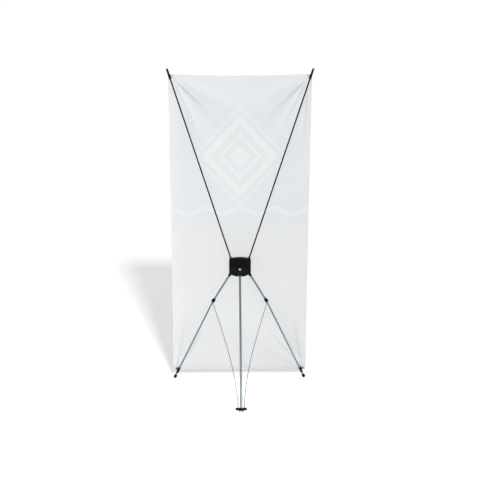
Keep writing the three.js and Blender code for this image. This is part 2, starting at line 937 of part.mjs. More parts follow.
const rearGroup = new THREE.Group();
rearGroup.position.set(0, -rearPivotDown, -rearPivot.back);
rearGroup.rotation.x = rearLean + legsLean;
legsPlane.add(rearGroup);

function rearKnuckle() {
  const width = rearSlot.width / 2 - fit.running;
  const eye = alongX(bar(rearPivot.eye, -width, width, fit.seat));
  const plug = bar(rearPivot.plug, -rearPivot.plugReach, 0, fit.seat, rodSteps);
  const bore = alongX(bar(
    pivotPin.diameter + 2 * fit.running, -hub.width, hub.width, 0, smallSteps,
  ));
  return cut(joined(eye, plug), bore);
}

add(rearGroup, 'rear_leg_knuckle', rearKnuckle(), 'steel');
add(rearGroup, 'rear_leg_pivot_pin', alongX(pin(pivotPin.rearLength)), 'steel');
const rearTubeEnd = -rearFoot.socketFloor - rearLength;
add(
  rearGroup,
  'rear_leg_tube',
  tube(rearLeg.diameter, rearLeg.wall, rearTubeEnd, -rearPivot.shoulder - fit.seat, roundSteps),
  'aluminium',
);

// Rear foot: a rounded crossbar with a short socket for the leg, two studs under its middle
// and a boss on each wing for a stay's end
const footGroup = new THREE.Group();
footGroup.position.copy(rearFootPoint);
stand.add(footGroup);

function crossbar() {
  const { width, height, depth, round, edge } = rearFoot;
  const section = new THREE.Shape();
  const up = height / 2;
  const back = depth / 2;
  section.moveTo(-back, round - up);
  section.lineTo(-back, up - round);
  section.quadraticCurveTo(-back, up, round - back, up);
  section.lineTo(back - round, up);
  section.quadraticCurveTo(back, up, back, up - round);
  section.lineTo(back, round - up);
  section.quadraticCurveTo(back, -up, back - round, -up);
  section.lineTo(round - back, -up);
  section.quadraticCurveTo(-back, -up, -back, round - up);
  const solidBar = new THREE.ExtrudeGeometry(section, {
    depth: width - 2 * edge,
    bevelSize: edge,
    bevelOffset: -edge,
    bevelThickness: edge,
    bevelSegments: 2,
    curveSegments: arcSteps / 2,
  });
  solidBar.translate(0, 0, edge - width / 2);
  // The section's own x becomes the stand's depth, its y the height, and its length runs
  // along X
  const turn = new THREE.Matrix4().makeBasis(
    new THREE.Vector3(0, 1, 0),
    new THREE.Vector3(0, 0, 1),
    new THREE.Vector3(1, 0, 0),
  );
  return solidBar.applyMatrix4(turn);
}

function rearFootBody() {
  const socket = bar(
    rearFoot.socket, -rearFoot.socketBelow, rearFoot.socketAbove, rearFoot.lip,
  );
  const room = bar(
    rearLeg.diameter + 2 * fit.seat,
    -rearFoot.socketFloor - fit.seat,
    2 * rearFoot.height,
    0,
  );
  const upright = Math.PI / 2;
  for (const piece of [socket, room]) piece.rotateX(upright + rearLean);
  const studs = sides.map(([, side]) => {
    const stud = bar(rearFoot.stud, -rearFootUp, 0, rearFoot.lip).rotateX(upright);
    stud.translate(side * rearFoot.studOut, 0, 0);
    return stud;
  });
  const last = stayRoute.length - 1;
  const holders = sides.map(([, side]) => ({
    at: new THREE.Vector3(side * rearFoot.cordOut, -rearFoot.cordAhead, rearFoot.cordAbove),
    towards: stayDirection(footGroup, side, last, last - 1),
  }));
  const body = joined(
    crossbar(),
    socket,
    ...studs,
    ...holders.map(({ at, towards }) => cordHolder(at, towards)),
  );
  return cut(body, room, ...holders.map(({ at, towards }) => cordRoom(at, towards)));
}

trimAtFloor(add(footGroup, 'rear_foot', rearFootBody(), 'mouldedBlack'));

// Stay cords
for (const [name, side] of sides) {
  const points = stayRoute.map(([x, y, z]) => new THREE.Vector3(side * x, y, z));
  add(stand, `${name}_stay_cord`, wire(points, stay.diameter, stay.sides, stay.steps), 'cord');
}

// Grommets: an eyelet rolled over a washer, with the sheet between their flanges
function eyelet() {
  const bore = grommet.hole / 2;
  const barrel = bore + grommet.barrelWall;
  const rim = grommet.flange / 2;
  const inner = banner.thickness / 2 + fit.seat;
  const outer = inner + grommet.flangeThickness;
  const roll = grommet.roll;
  return alongZ(revolved([
    [bore, -inner],
    [bore + roll, -outer],
    [rim - roll, -outer],
    [rim, -inner],
    [barrel, -inner],
    [barrel, inner],
    [rim, inner],
    [rim - roll, outer],
    [bore + roll, outer],
    [bore, inner],
    [bore, -inner],
  ], rodSteps));
}

for (const [name, side] of sides) {
  for (const end of ends) {
    const ring = add(bannerPlane, `${name}_${end}_grommet`, eyelet(), 'steel');
    ring.position.copy(grommetPoint(side, end));
  }
}

// The sheet, with the folds that its hooks pull into its corners. Each row gives a fold's
// corner, its turn from the sheet's side edge towards its middle, and its shares of the
// depth towards the printed side, of the reach and of the width
const fold = {
  depth: 7,
  reach: 210,
  width: 34,
  calmNear: 34,
  calmFar: 90,
};
const foldShares = [
  { side: 1, top: true, turnDegrees: 45, depth: 1, reach: 1, width: 1 },
  { side: 1, top: true, turnDegrees: 60, depth: -0.7, reach: 1.1, width: 0.9 },
  { side: -1, top: true, turnDegrees: 36, depth: 1, reach: 1.05, width: 1 },
  { side: -1, top: true, turnDegrees: 58, depth: -0.7, reach: 0.95, width: 0.9 },
  { side: -1, top: true, turnDegrees: 7, depth: -0.6, reach: 1.6, width: 0.7 },
  { side: -1, top: false, turnDegrees: 32, depth: 0.85, reach: 0.9, width: 1 },
  { side: -1, top: false, turnDegrees: 55, depth: -0.6, reach: 0.8, width: 0.9 },
  { side: 1, top: false, turnDegrees: 40, depth: 0.6, reach: 0.95, width: 1.2 },
];
const sheetColumns = 16;
const sheetRows = 26;
const evenShare = 0.6;
const foldStartShare = 0.25;

function foldLift(x, up) {
  let lift = 0;
  for (const shares of foldShares) {
    const inward = banner.width / 2 - shares.side * x;
    const along = shares.top ? banner.height - up : up;
    const turn = degrees(shares.turnDegrees);
    const distance = inward * Math.sin(turn) + along * Math.cos(turn);
    const across = inward * Math.cos(turn) - along * Math.sin(turn);
    const share = Math.max(distance / (fold.reach * shares.reach), 0);
    const spread = across / (fold.width * shares.width * (foldStartShare + share));
    lift += fold.depth * shares.depth * share * Math.exp(1 - share - spread * spread);
  }
  return lift * calmness(x, up);
}

// The sheet lies flat round each grommet
function calmness(x, up) {
  const here = new THREE.Vector3(Math.abs(x), up, 0);
  const distance = Math.min(...ends.map((end) => here.distanceTo(grommetPoint(1, end))));
  return THREE.MathUtils.smoothstep(distance, fold.calmNear, fold.calmFar);
}

// Rows and columns lie closer together towards the edges
function spaced(share) {
  const eased = (1 - Math.cos(Math.PI * share)) / 2;
  return evenShare * share + (1 - evenShare) * eased;
}

function sheetPoint(column, row, face) {
  const across = 2 * spaced(column / sheetColumns) - 1;
  const upShare = spaced(row / sheetRows);
  const sag = 1 - across * across;
  const low = banner.bottomSag * sag;
  const high = banner.height - banner.topSag * sag;
  const up = low + upShare * (high - low);
  const waist = banner.sideSag * 4 * upShare * (1 - upShare);
  const x = across * (banner.width / 2 - waist);
  return [x, up, foldLift(x, up) + face * banner.thickness / 2];
}

function sheetSolid() {
  const positions = [];
  const triangles = [];
  const perFace = (sheetColumns + 1) * (sheetRows + 1);
  const at = (column, row, face) => (face > 0 ? 0 : perFace) + row * (sheetColumns + 1) + column;
  for (const face of [1, -1]) {
    for (let row = 0; row <= sheetRows; row += 1) {
      for (let column = 0; column <= sheetColumns; column += 1) {
        positions.push(...sheetPoint(column, row, face));
      }
    }
  }
  const quad = (a, b, c, d) => triangles.push(a, b, c, a, c, d);
  for (let row = 0; row < sheetRows; row += 1) {
    for (let column = 0; column < sheetColumns; column += 1) {
      const next = column + 1;
      const over = row + 1;
      quad(at(column, row, 1), at(next, row, 1), at(next, over, 1), at(column, over, 1));
      quad(at(next, row, -1), at(column, row, -1), at(column, over, -1), at(next, over, -1));
    }
  }
  for (let row = 0; row < sheetRows; row += 1) {
    const over = row + 1;
    const last = sheetColumns;
    quad(at(0, row, -1), at(0, row, 1), at(0, over, 1), at(0, over, -1));
    quad(at(last, row, 1), at(last, row, -1), at(last, over, -1), at(last, over, 1));
  }
  for (let column = 0; column < sheetColumns; column += 1) {
    const next = column + 1;
    const last = sheetRows;
    quad(at(column, 0, -1), at(next, 0, -1), at(next, 0, 1), at(column, 0, 1));
    quad(at(column, last, 1), at(next, last, 1), at(next, last, -1), at(column, last, -1));
  }
  const geometry = new THREE.BufferGeometry();
  geometry.setAttribute('position', new THREE.Float32BufferAttribute(positions, 3));
  geometry.setIndex(triangles);
  return geometry;
}

function bannerSheet() {
  const holeSize = grommet.hole + 2 * grommet.barrelWall + 2 * fit.seat;
  const holes = sides.flatMap(([, side]) => ends.map((end) => {
    const centre = grommetPoint(side, end);
    return alongZ(bar(holeSize, -fit.overrun, fit.overrun, 0, smallSteps))
      .translate(centre.x, centre.y, centre.z);
  }));
  return cut(sheetSolid(), ...holes);
}

add(bannerPlane, 'banner_sheet', bannerSheet(), 'sheet');

// The origin is on the floor, at the middle of the stand's plan
stand.updateMatrixWorld(true);
const extent = new THREE.Box3().setFromObject(stand, true);
stand.position.y = -(extent.min.y + extent.max.y) / 2;

const bannerStand = new THREE.Group();
bannerStand.add(stand);

export default bannerStand;
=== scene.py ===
# %% [markdown]
# An x banner stand, set up and seen from behind. A moulded hub carries two slim poles and
# three tube legs, and a printed sheet is stretched between four hooks at their ends.
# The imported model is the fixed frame: every size and place below is in metres, in its axes,
# with the floor at z = 0, the printed side towards -Y and the rear leg towards +Y.

# %% Load the frame
import functools
import json
import math
from types import SimpleNamespace

import bmesh
import bpy
import numpy as np
from mathutils import Matrix, Vector


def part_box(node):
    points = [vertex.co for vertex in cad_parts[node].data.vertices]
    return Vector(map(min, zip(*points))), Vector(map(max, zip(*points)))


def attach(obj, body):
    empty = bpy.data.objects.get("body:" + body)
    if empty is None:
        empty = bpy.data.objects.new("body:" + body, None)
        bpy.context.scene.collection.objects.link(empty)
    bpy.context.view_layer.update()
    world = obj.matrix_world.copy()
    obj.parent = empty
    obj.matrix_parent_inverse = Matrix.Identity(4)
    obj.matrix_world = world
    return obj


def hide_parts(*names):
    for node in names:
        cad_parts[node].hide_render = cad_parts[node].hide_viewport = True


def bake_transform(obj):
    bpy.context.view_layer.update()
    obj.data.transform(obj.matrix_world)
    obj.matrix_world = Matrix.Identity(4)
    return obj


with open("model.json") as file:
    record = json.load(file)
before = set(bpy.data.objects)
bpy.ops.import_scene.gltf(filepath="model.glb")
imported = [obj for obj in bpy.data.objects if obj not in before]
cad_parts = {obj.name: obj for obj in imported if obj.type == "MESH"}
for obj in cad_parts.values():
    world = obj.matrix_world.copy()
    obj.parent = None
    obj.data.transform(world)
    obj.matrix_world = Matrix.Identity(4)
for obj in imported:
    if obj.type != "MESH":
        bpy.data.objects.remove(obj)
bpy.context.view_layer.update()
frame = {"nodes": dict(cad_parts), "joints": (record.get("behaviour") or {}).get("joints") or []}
joints = {joint["name"]: joint for joint in frame["joints"]}
SIDES = (("left", 1), ("right", -1))

# %% [markdown]
# The camera comes first, because everything else is judged through it. It stands behind the
# sheet, a little above the stand's middle, and looks down at it through a long lens. Aim,
# distance and two angles say more to a reader than a matrix, so the place is worked out
# from them.

# %% Camera
AIM = Vector((-0.003, -0.288, 0.851))
CAMERA_DISTANCE = 6.314
LOOKS_DOWN = math.radians(11.64)
STANDS_LEFT = math.radians(1.0)
LENS_MM = 80.0

back_along = Vector((
    math.sin(STANDS_LEFT) * math.cos(LOOKS_DOWN),
    math.cos(STANDS_LEFT) * math.cos(LOOKS_DOWN),
    math.sin(LOOKS_DOWN),
))
camera = bpy.data.objects.new("camera", bpy.data.cameras.new("camera"))
camera.data.lens = LENS_MM
camera.location = AIM + back_along * CAMERA_DISTANCE
camera.rotation_mode = "QUATERNION"
camera.rotation_quaternion = (-back_along).to_track_quat("-Z", "Y")
bpy.context.scene.collection.objects.link(camera)
bpy.context.scene.camera = camera
print("camera at", [round(c, 3) for c in camera.location])

# %% [markdown]
# Meshes here come from a few small helpers. A piece is built in the frame of its own limb,
# with Y along the limb, and its object carries that frame, so a texture can run along the
# limb too. Faces are shaded smooth and only edges sharper than a set angle stay crisp.

# %% A mesh object
SHARP_ANGLE = math.radians(38)


def shade(obj):
    obj.data.polygons.foreach_set("use_smooth", [True] * len(obj.data.polygons))
    obj.data.set_sharp_from_angle(angle=SHARP_ANGLE)
    return obj


def mesh_object(name, points, faces, place=None):
    mesh = bpy.data.meshes.new(name)
    mesh.from_pydata([tuple(p) for p in points], [], faces)
    made = bmesh.new()
    made.from_mesh(mesh)
    bmesh.ops.recalc_face_normals(made, faces=made.faces)
    made.to_mesh(mesh)
    made.free()
    obj = bpy.data.objects.new(name, mesh)
    obj.matrix_world = place or Matrix.Identity(4)
    bpy.context.scene.collection.objects.link(obj)
    return shade(obj)


def mapped(obj, name, places):
    """Give each vertex its own place on a texture."""
    layer = obj.data.uv_layers.new(name=name)
    for i, loop in enumerate(obj.data.loops):
        layer.data[i].uv = places[loop.vertex_index]
    return obj


# %% [markdown]
# Most pieces of the stand are turned or moulded round a bar, so a lathe is the main tool. A
# profile is a list of (radius, height) points that starts and ends on the axis, or closes
# on itself. Real mouldings have no knife edges, so each corner of a profile is eased with a
# short curve before it is spun.

# %% Profiles and the lathe
ROUND_STEPS = 48
EASE_SHARE = 0.45
ON_AXIS = 1e-7


def eased(profile, radius, steps=4, closed=False):
    """Round each corner of a profile with a short curve."""
    points = [Vector(p) for p in profile]
    count = len(points)
    out = [] if closed else [points[0]]
    for i in range(count) if closed else range(1, count - 1):
        here, before, after = points[i], points[i - 1], points[(i + 1) % count]
        into, away = before - here, after - here
        reach = min(radius, EASE_SHARE * into.length, EASE_SHARE * away.length)
        start, end = here + into.normalized() * reach, here + away.normalized() * reach
        for k in range(steps + 1):
            t = k / steps
            out.append(start * (1 - t) ** 2 + here * (2 * t * (1 - t)) + end * t ** 2)
    if not closed:
        out.append(points[-1])
    return [tuple(p) for p in out]


def quarter_arc(steps):
    """Sine and cosine of even turns from 0 to a right angle."""
    return [(math.sin(t), math.cos(t)) for t in np.linspace(0, math.pi / 2, steps + 1)]


def lathe(name, profile, place=None, closed=False):
    points, rings = [], []
    for radius, height in profile:
        if radius < ON_AXIS:
            rings.append([len(points)] * ROUND_STEPS)
            points.append((0, height, 0))
            continue
        rings.append([len(points) + i for i in range(ROUND_STEPS)])
        for i in range(ROUND_STEPS):
            turn = 2 * math.pi * i / ROUND_STEPS
            points.append((radius * math.cos(turn), height, radius * math.sin(turn)))
    pairs = list(zip(rings, rings[1:]))
    if closed:
        pairs.append((rings[-1], rings[0]))
    faces = []
    for low, high in pairs:
        for i in range(ROUND_STEPS):
            j = (i + 1) % ROUND_STEPS
            corners = list(dict.fromkeys((low[i], low[j], high[j], high[i])))
            if len(corners) > 2:
                faces.append(corners)
    return mesh_object(name, points, faces, place)


def bar(name, radius, low, high, edge=0.0, place=None):
    corners = [(0, low), (radius, low), (radius, high), (0, high)]
    return lathe(name, eased(corners, edge) if edge else corners, place)


def block(name, low, high, place=None):
    (x0, y0, z0), (x1, y1, z1) = low, high
    points = [(x, y, z) for x in (x0, x1) for y in (y0, y1) for z in (z0, z1)]
    faces = [(0, 1, 3, 2), (4, 6, 7, 5), (0, 4, 5, 1), (2, 3, 7, 6), (0, 2, 6, 4), (1, 5, 7, 3)]
    return mesh_object(name, points, faces, place)


# %% [markdown]
# Wires and cords follow a curve. The curve runs through a few given points, with
# the same spacing rule as the part's source (a centripetal Catmull-Rom curve, which makes
# no loops between uneven points). A ring is carried along it without twist, and an end may
# be drawn in to a dome.

# %% Curves and the sweep
def through(points, per_span):
    """A smooth line through the points, with so many steps between each two."""
    points = [Vector(p) for p in points]
    points = [2 * points[0] - points[1], *points, 2 * points[-1] - points[-2]]
    line = []
    for i in range(1, len(points) - 2):
        p0, p1, p2, p3 = points[i - 1:i + 3]
        d0, d1, d2 = ((b - a).length ** 0.5 for a, b in ((p0, p1), (p1, p2), (p2, p3)))
        leave = ((p1 - p0) / d0 - (p2 - p0) / (d0 + d1) + (p2 - p1) / d1) * d1
        arrive = ((p2 - p1) / d1 - (p3 - p1) / (d1 + d2) + (p3 - p2) / d2) * d1
        for k in range(per_span):
            t = k / per_span
            line.append(
                p1 * (2 * t ** 3 - 3 * t ** 2 + 1) + leave * (t ** 3 - 2 * t ** 2 + t)
                + p2 * (3 * t ** 2 - 2 * t ** 3) + arrive * (t ** 3 - t ** 2)
            )
    return line + [points[-2]]


def length_of(line):
    return sum((b - a).length for a, b in zip(line, line[1:]))


def sweep(name, line, radii, sides, place=None):
    normal = None
    points, faces, wrap, along = [], [], [], 0.0
    for i, here in enumerate(line):
        ahead = (line[min(i + 1, len(line) - 1)] - line[max(i - 1, 0)]).normalized()
        if normal is None:
            normal = ahead.orthogonal().normalized()
        normal = (normal - ahead * normal.dot(ahead)).normalized()
        across = ahead.cross(normal)
        if i:
            along += (here - line[i - 1]).length
        for k in range(sides):
            turn = 2 * math.pi * k / sides
            points.append(here + (normal * math.cos(turn) + across * math.sin(turn)) * radii[i])
            wrap.append((k / sides, along))
    for i in range(len(line) - 1):
        for k in range(sides):
            a, b = i * sides + k, i * sides + (k + 1) % sides
            faces.append((a, b, b + sides, a + sides))
    faces.append(tuple(range(sides))[::-1])
    faces.append(tuple(range((len(line) - 1) * sides, len(line) * sides)))
    return mapped(mesh_object(name, points, faces, place), "wrap", wrap)


# %% [markdown]
# The two stay cords are thin sheathed wires. Each leaves the boss on a leg's collar, bows
# towards the middle as the photograph shows, and ends in the rear foot, so both ends go
# into the object and nothing has to be coiled. The route's points are those of the part's
# source. A cord crosses two folds, and a mesh can bend across only one, so each is made in
# two lengths that meet where the cord hardly moves.

# %% Stay cords
CORD_DIAMETER = 0.0034
CORD_SIDES = 12
CORD_PER_SPAN = 8
CORD_MEETING = 3
STAY_ROUTE = (
    (0.1602, -0.1648, 0.5077), (0.1446, -0.1327, 0.465), (0.131, -0.1007, 0.430),
    (0.117, -0.0697, 0.396), (0.1037, -0.0377, 0.362), (0.0907, -0.0057, 0.327),
    (0.0783, 0.0263, 0.293), (0.066, 0.0583, 0.258), (0.0553, 0.0893, 0.224),
    (0.046, 0.1213, 0.190), (0.0375, 0.1533, 0.155), (0.0303, 0.1853, 0.121),
    (0.0243, 0.2173, 0.087), (0.020, 0.2483, 0.052), (0.017, 0.2823, 0.015),
)
cords = []


def stay_route(side):
    return [Vector((side * x, y, z)) for x, y, z in STAY_ROUTE]


for side_name, side in SIDES:
    whole = through(stay_route(side), CORD_PER_SPAN)
    meeting = CORD_MEETING * CORD_PER_SPAN
    for part, line, bodies in (
        ("upper", whole[:meeting + 1], (f"{side_name}_leg", "hub")),
        ("lower", whole[meeting:], ("hub", "rear_leg")),
    ):
        name = f"{side_name}_stay_{part}_length"
        made = sweep(name, line, [CORD_DIAMETER / 2] * len(line), CORD_SIDES)
        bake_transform(made)
        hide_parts(f"{side_name}_stay_cord")
        cords.append(made)
        print(name, "length", round(length_of(line), 3))

# %% [markdown]
# A limb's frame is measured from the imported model: the two ends of its tube give the
# direction, and its fold's axis gives the side that faces the sheet. A piece that is turned
# again here then lands exactly where its plain solid lies.

# %% Limb frames
END_REACH = 1e-4
lying = Matrix.Rotation(math.pi / 2, 4, "X")
upper_front = Vector(joints["left_pole_fold"]["axis"])
lower_front = -Vector(joints["left_leg_fold"]["axis"])


def bar_line(node_name):
    """The lower and upper end of a straight bar's axis, and its outer radius."""
    places = np.array([v.co for v in frame["nodes"][node_name].data.vertices])
    places = np.unique(places.round(6), axis=0)
    middle = places.mean(0)
    direction = np.linalg.svd(places - middle, full_matrices=False)[2][0]
    direction *= np.sign(direction[2])
    along = (places - middle) @ direction
    low, high = (
        places[np.abs(along - end) < END_REACH].mean(0) for end in (along.min(), along.max())
    )
    axis = (high - low) / np.linalg.norm(high - low)
    offset = places - low
    radius = np.linalg.norm(offset - np.outer(offset @ axis, axis), axis=1).max()
    return Vector(low), Vector(high), float(radius)


def limb_frame(origin, up_along, front):
    y = up_along.normalized()
    x = y.cross(front).normalized()
    z = x.cross(y)
    place = Matrix((x, y, z)).transposed().to_4x4()
    place.translation = origin
    return place


def pivot_of(joint):
    return Vector(joints[joint]["pos_m"])


def middle_of(node_name):
    low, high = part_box(node_name)
    return (low + high) / 2


CORNER_LIMBS = [
    (side_name, side, end, limb)
    for end, limb in (("top", "pole"), ("bottom", "leg")) for side_name, side in SIDES
]
grommet_at = {
    (side_name, end): middle_of(f"{side_name}_{end}_grommet")
    for side_name, _, end, _ in CORNER_LIMBS
}
print("grommets span", round((grommet_at["left", "top"] - grommet_at["right", "top"]).length, 3))

# %% [markdown]
# Finishes share three effects. Fine grain is the texture that a moulding tool or a printing
# film leaves. Handling marks are soft patches where hands have changed the gloss. Settled
# dust lies on what faces up. Each is a shader node group with named sockets, built once and
# placed in a material with its own values, so that all the stand's pieces have aged in the
# same room. The helpers below keep a material's wiring short enough to read as a sum.

# %% Node helpers
def link(value, socket):
    """Join another socket to this one, or set a plain value on it."""
    if isinstance(value, bpy.types.NodeSocket):
        socket.id_data.links.new(value, socket)
    else:
        socket.default_value = value


def node(beside, kind, **settings):
    """A new node in the tree that a tree, a node or a socket belongs to."""
    made = beside.id_data.nodes.new(kind)
    for name, value in settings.items():
        setattr(made, name, value)
    return made


def fed(made, **values):
    """Link or set a node's inputs by name, and hand back its outputs."""
    for label, value in values.items():
        link(value, made.inputs[label.replace("_", " ")])
    return made.outputs


def maths(operation, *values):
    beside = next(value for value in values if isinstance(value, bpy.types.NodeSocket))
    made = node(beside, "ShaderNodeMath", operation=operation)
    for value, socket in zip(values, made.inputs):
        link(value, socket)
    return made.outputs[0]


def chained(operation):
    """The same operation on as many values as are given."""
    def work(*values):
        return functools.reduce(functools.partial(maths, operation), values)
    return work


plus, less, times, over, most = map(
    chained, ("ADD", "SUBTRACT", "MULTIPLY", "DIVIDE", "MAXIMUM"),
)


def ranged(value, span=(0, 1), onto=(0, 1)):
    """A soft step: the first pair is where it starts and ends, the second what it gives."""
    made = node(value, "ShaderNodeMapRange", interpolation_type="SMOOTHSTEP")
    return fed(made, Value=value, From_Min=span[0], From_Max=span[1],
               To_Min=onto[0], To_Max=onto[1])["Result"]


def mixed(factor, first, second):
    made = node(factor, "ShaderNodeMix", data_type="RGBA")
    link(factor, made.inputs["Factor"])
    colours = [socket for socket in made.inputs if socket.type == "RGBA"]
    for value, socket in zip((first, second), colours):
        link((*value, 1.0) if isinstance(value, tuple) else value, socket)
    return next(socket for socket in made.outputs if socket.type == "RGBA")


def noise(place, scale, detail=2.0, roughness=0.5):
    made = node(place, "ShaderNodeTexNoise")
    return fed(made, Vector=place, Scale=scale, Detail=detail, Roughness=roughness)["Fac"]


def bump(height, distance):
    return fed(node(height, "ShaderNodeBump"), Distance=distance, Height=height)["Normal"]


def axes(vector):
    """The three parts of a vector."""
    return fed(node(vector, "ShaderNodeSeparateXYZ"), Vector=vector)


# %% Shared effects as node groups
BROADER = 24.0
MOTTLE_SPAN = (0.3, 0.7)
MARKS_SPAN = (0.5, 0.68)
DUST_FACING, DUST_SPECKS = (0.2, 0.95), (0.42, 0.72)


def effect(name, inputs, outputs):
    tree = bpy.data.node_groups.new(name, "ShaderNodeTree")
    tree.interface.new_socket("Place", in_out="INPUT", socket_type="NodeSocketVector")
    for label, value in inputs.items():
        made = tree.interface.new_socket(label, in_out="INPUT", socket_type="NodeSocketFloat")
        made.default_value = value
    for label in outputs:
        tree.interface.new_socket(label, in_out="OUTPUT", socket_type="NodeSocketFloat")
    return tree, node(tree, "NodeGroupInput").outputs, node(tree, "NodeGroupOutput").inputs


def make_fine_grain():
    tree, given, out = effect("Fine grain", {"Scale": 900.0}, ("Height", "Mottle"))
    link(noise(given["Place"], given["Scale"], 3.0, 0.65), out["Height"])
    broad = noise(given["Place"], over(given["Scale"], BROADER))
    link(ranged(broad, MOTTLE_SPAN), out["Mottle"])
    return tree


def make_handling_marks():
    tree, given, out = effect("Handling marks", {"Scale": 18.0}, ("Mask",))
    patch = noise(given["Place"], given["Scale"], 4.0, 0.6)
    link(ranged(patch, MARKS_SPAN), out["Mask"])
    return tree


def make_settled_dust():
    tree, given, out = effect("Settled dust", {"Scale": 160.0, "Amount": 0.5}, ("Mask",))
    normal = node(tree, "ShaderNodeNewGeometry").outputs["Normal"]
    facing_up = ranged(axes(normal)["Z"], DUST_FACING)
    specks = ranged(noise(given["Place"], given["Scale"], 5.0, 0.7), DUST_SPECKS)
    link(times(facing_up, specks, given["Amount"]), out["Mask"])
    return tree


FINE_GRAIN, HANDLING_MARKS, SETTLED_DUST = (
    make_fine_grain(), make_handling_marks(), make_settled_dust(),
)
print("effects", [g.name for g in (FINE_GRAIN, HANDLING_MARKS, SETTLED_DUST)])

# %% [markdown]
# A finish is a material with one Principled shader. What is the same all over the surface
# is set on the shader itself; what changes over it comes in through nodes. The black
# mouldings are glass-filled nylon with a spark-eroded texture, darker than they seem,
# because a white studio lights them from all sides. The poles are pultruded fibreglass,
# whose fibres run along the rod.

# %% Finishes for mouldings, rods and rubber
DUST = (0.32, 0.31, 0.29)
NYLON = ((0.0008, 0.0009, 0.0011), (0.0022, 0.0023, 0.0026))
FIBREGLASS = ((0.0008, 0.0008, 0.0009), (0.002, 0.002, 0.0022))
RUBBER, RUBBER_SCUFFED = (0.0022, 0.0022, 0.0024), (0.007, 0.0068, 0.0066)
NYLON_ROUGH, NYLON_POLISHED, NYLON_RELIEF = (0.32, 0.46), 0.14, 0.00012
ROD_ROUGH, ROD_RELIEF, ROD_STRETCH = (0.34, 0.5), 0.00005, (1.0, 0.02, 1.0)
RUBBER_RELIEF = 0.0002


def finish(name, roughness, **constants):
    made = bpy.data.materials.new(name)
    made.use_nodes = True
    shader = made.node_tree.nodes["Principled BSDF"]
    fed(shader, Roughness=roughness, **constants)
    return made, shader


def object_place(beside, stretch=(1, 1, 1)):
    place = node(beside, "ShaderNodeTexCoord").outputs["Object"]
    mapping = node(beside, "ShaderNodeMapping", vector_type="POINT")
    return fed(mapping, Vector=place, Scale=stretch)[0]


def placed(group, place, **values):
    return fed(node(place, "ShaderNodeGroup", node_tree=group), Place=place, **values)


def moulded_black():
    made, shader = finish("moulded_black", 0.4, Specular_IOR_Level=0.13)
    place = object_place(shader)
    grain = placed(FINE_GRAIN, place, Scale=1400.0)
    marks = placed(HANDLING_MARKS, place, Scale=26.0)
    dust = placed(SETTLED_DUST, place, Scale=260.0, Amount=0.035)
    rough = ranged(grain["Height"], (0.2, 0.8), NYLON_ROUGH)
    fed(
        shader,
        Base_Color=mixed(dust["Mask"], mixed(grain["Mottle"], *NYLON), DUST),
        Roughness=less(rough, times(marks["Mask"], NYLON_POLISHED)),
        Normal=bump(grain["Height"], NYLON_RELIEF),
    )
    return made


def rod_black():
    made, shader = finish("rod_black", 0.35, Specular_IOR_Level=0.03)
    fibres = placed(FINE_GRAIN, object_place(shader, ROD_STRETCH), Scale=1500.0)
    marks = placed(HANDLING_MARKS, object_place(shader), Scale=11.0)
    fed(
        shader, Base_Color=mixed(fibres["Height"], *FIBREGLASS),
        Roughness=ranged(marks["Mask"], onto=ROD_ROUGH),
        Normal=bump(fibres["Height"], ROD_RELIEF),
    )
    return made


def rubber_black():
    made, shader = finish("rubber_black", 0.75, Specular_IOR_Level=0.06)
    place = object_place(shader)
    grain = placed(FINE_GRAIN, place, Scale=700.0)
    dust = placed(SETTLED_DUST, place, Scale=420.0, Amount=0.09)
    scuffed = placed(HANDLING_MARKS, place, Scale=90.0)
    colour = mixed(scuffed["Mask"], RUBBER, RUBBER_SCUFFED)
    fed(
        shader, Base_Color=mixed(dust["Mask"], colour, DUST),
        Normal=bump(grain["Height"], RUBBER_RELIEF),
    )
    return made


FINISHES = {
    "moulded_black": moulded_black(), "fibreglass": rod_black(), "rubber": rubber_black(),
}

# %% [markdown]
# The legs are drawn aluminium tube with a satin anodised skin. Drawing leaves hair-thin
# lines along the tube, so the grain is stretched along Y, the limb's own direction, and it
# changes roughness and height together. Rivet, screws and grommets are plated steel,
# brighter and smoother, with fine turning marks. The rear leg's knuckle is steel too, but
# its upper half, in the hub's slot, is painted dark as painted shade of the slot, so that the
# slot shows no bright end. The cords are a braid under a clear sheath: two crossing waves
# round and along the cord give its diagonal strands.

# %% Finishes for metal and cord
ALUMINIUM = ((0.178, 0.225, 0.241), (0.211, 0.261, 0.278))
STEEL, STEEL_HANDLED = (0.56, 0.6, 0.615), (0.44, 0.47, 0.48)
# plain hinge steel, and the painted shade of the hub's slot on the knuckle's upper end
HINGE, SLOT_SHADE_TONE = (0.5, 0.53, 0.54), (0.016, 0.015, 0.014)
BRAID = ((0.043, 0.064, 0.072), (0.08, 0.108, 0.118))
TUBE_ROUGH, TUBE_HANDLED, TUBE_STRETCH = (0.3, 0.42), 0.08, (1.0, 0.006, 1.0)
STEEL_ROUGH, HINGE_ROUGH = (0.2, 0.34), (0.26, 0.5)
METAL_RELIEF, BRAID_RELIEF = 0.00002, 0.0001
# where the painted slot shade starts along the knuckle, and how ragged its edge is
SLOT_SHADE_FROM, SLOT_SHADE_RAGGED = (-0.0105, -0.0075), 0.0015
STRANDS_ROUND, STRANDS_ALONG = 8 * math.pi, 2400.0


def drawn_aluminium():
    made, shader = finish("drawn_aluminium", 0.36, Metallic=0.85)
    lines = placed(FINE_GRAIN, object_place(shader, TUBE_STRETCH), Scale=2600.0)
    marks = placed(HANDLING_MARKS, object_place(shader), Scale=14.0)
    rough = ranged(lines["Height"], (0.25, 0.75), TUBE_ROUGH)
    fed(
        shader, Base_Color=mixed(lines["Mottle"], *ALUMINIUM),
        Roughness=plus(rough, times(marks["Mask"], TUBE_HANDLED)),
        Normal=bump(lines["Height"], METAL_RELIEF),
    )
    return made


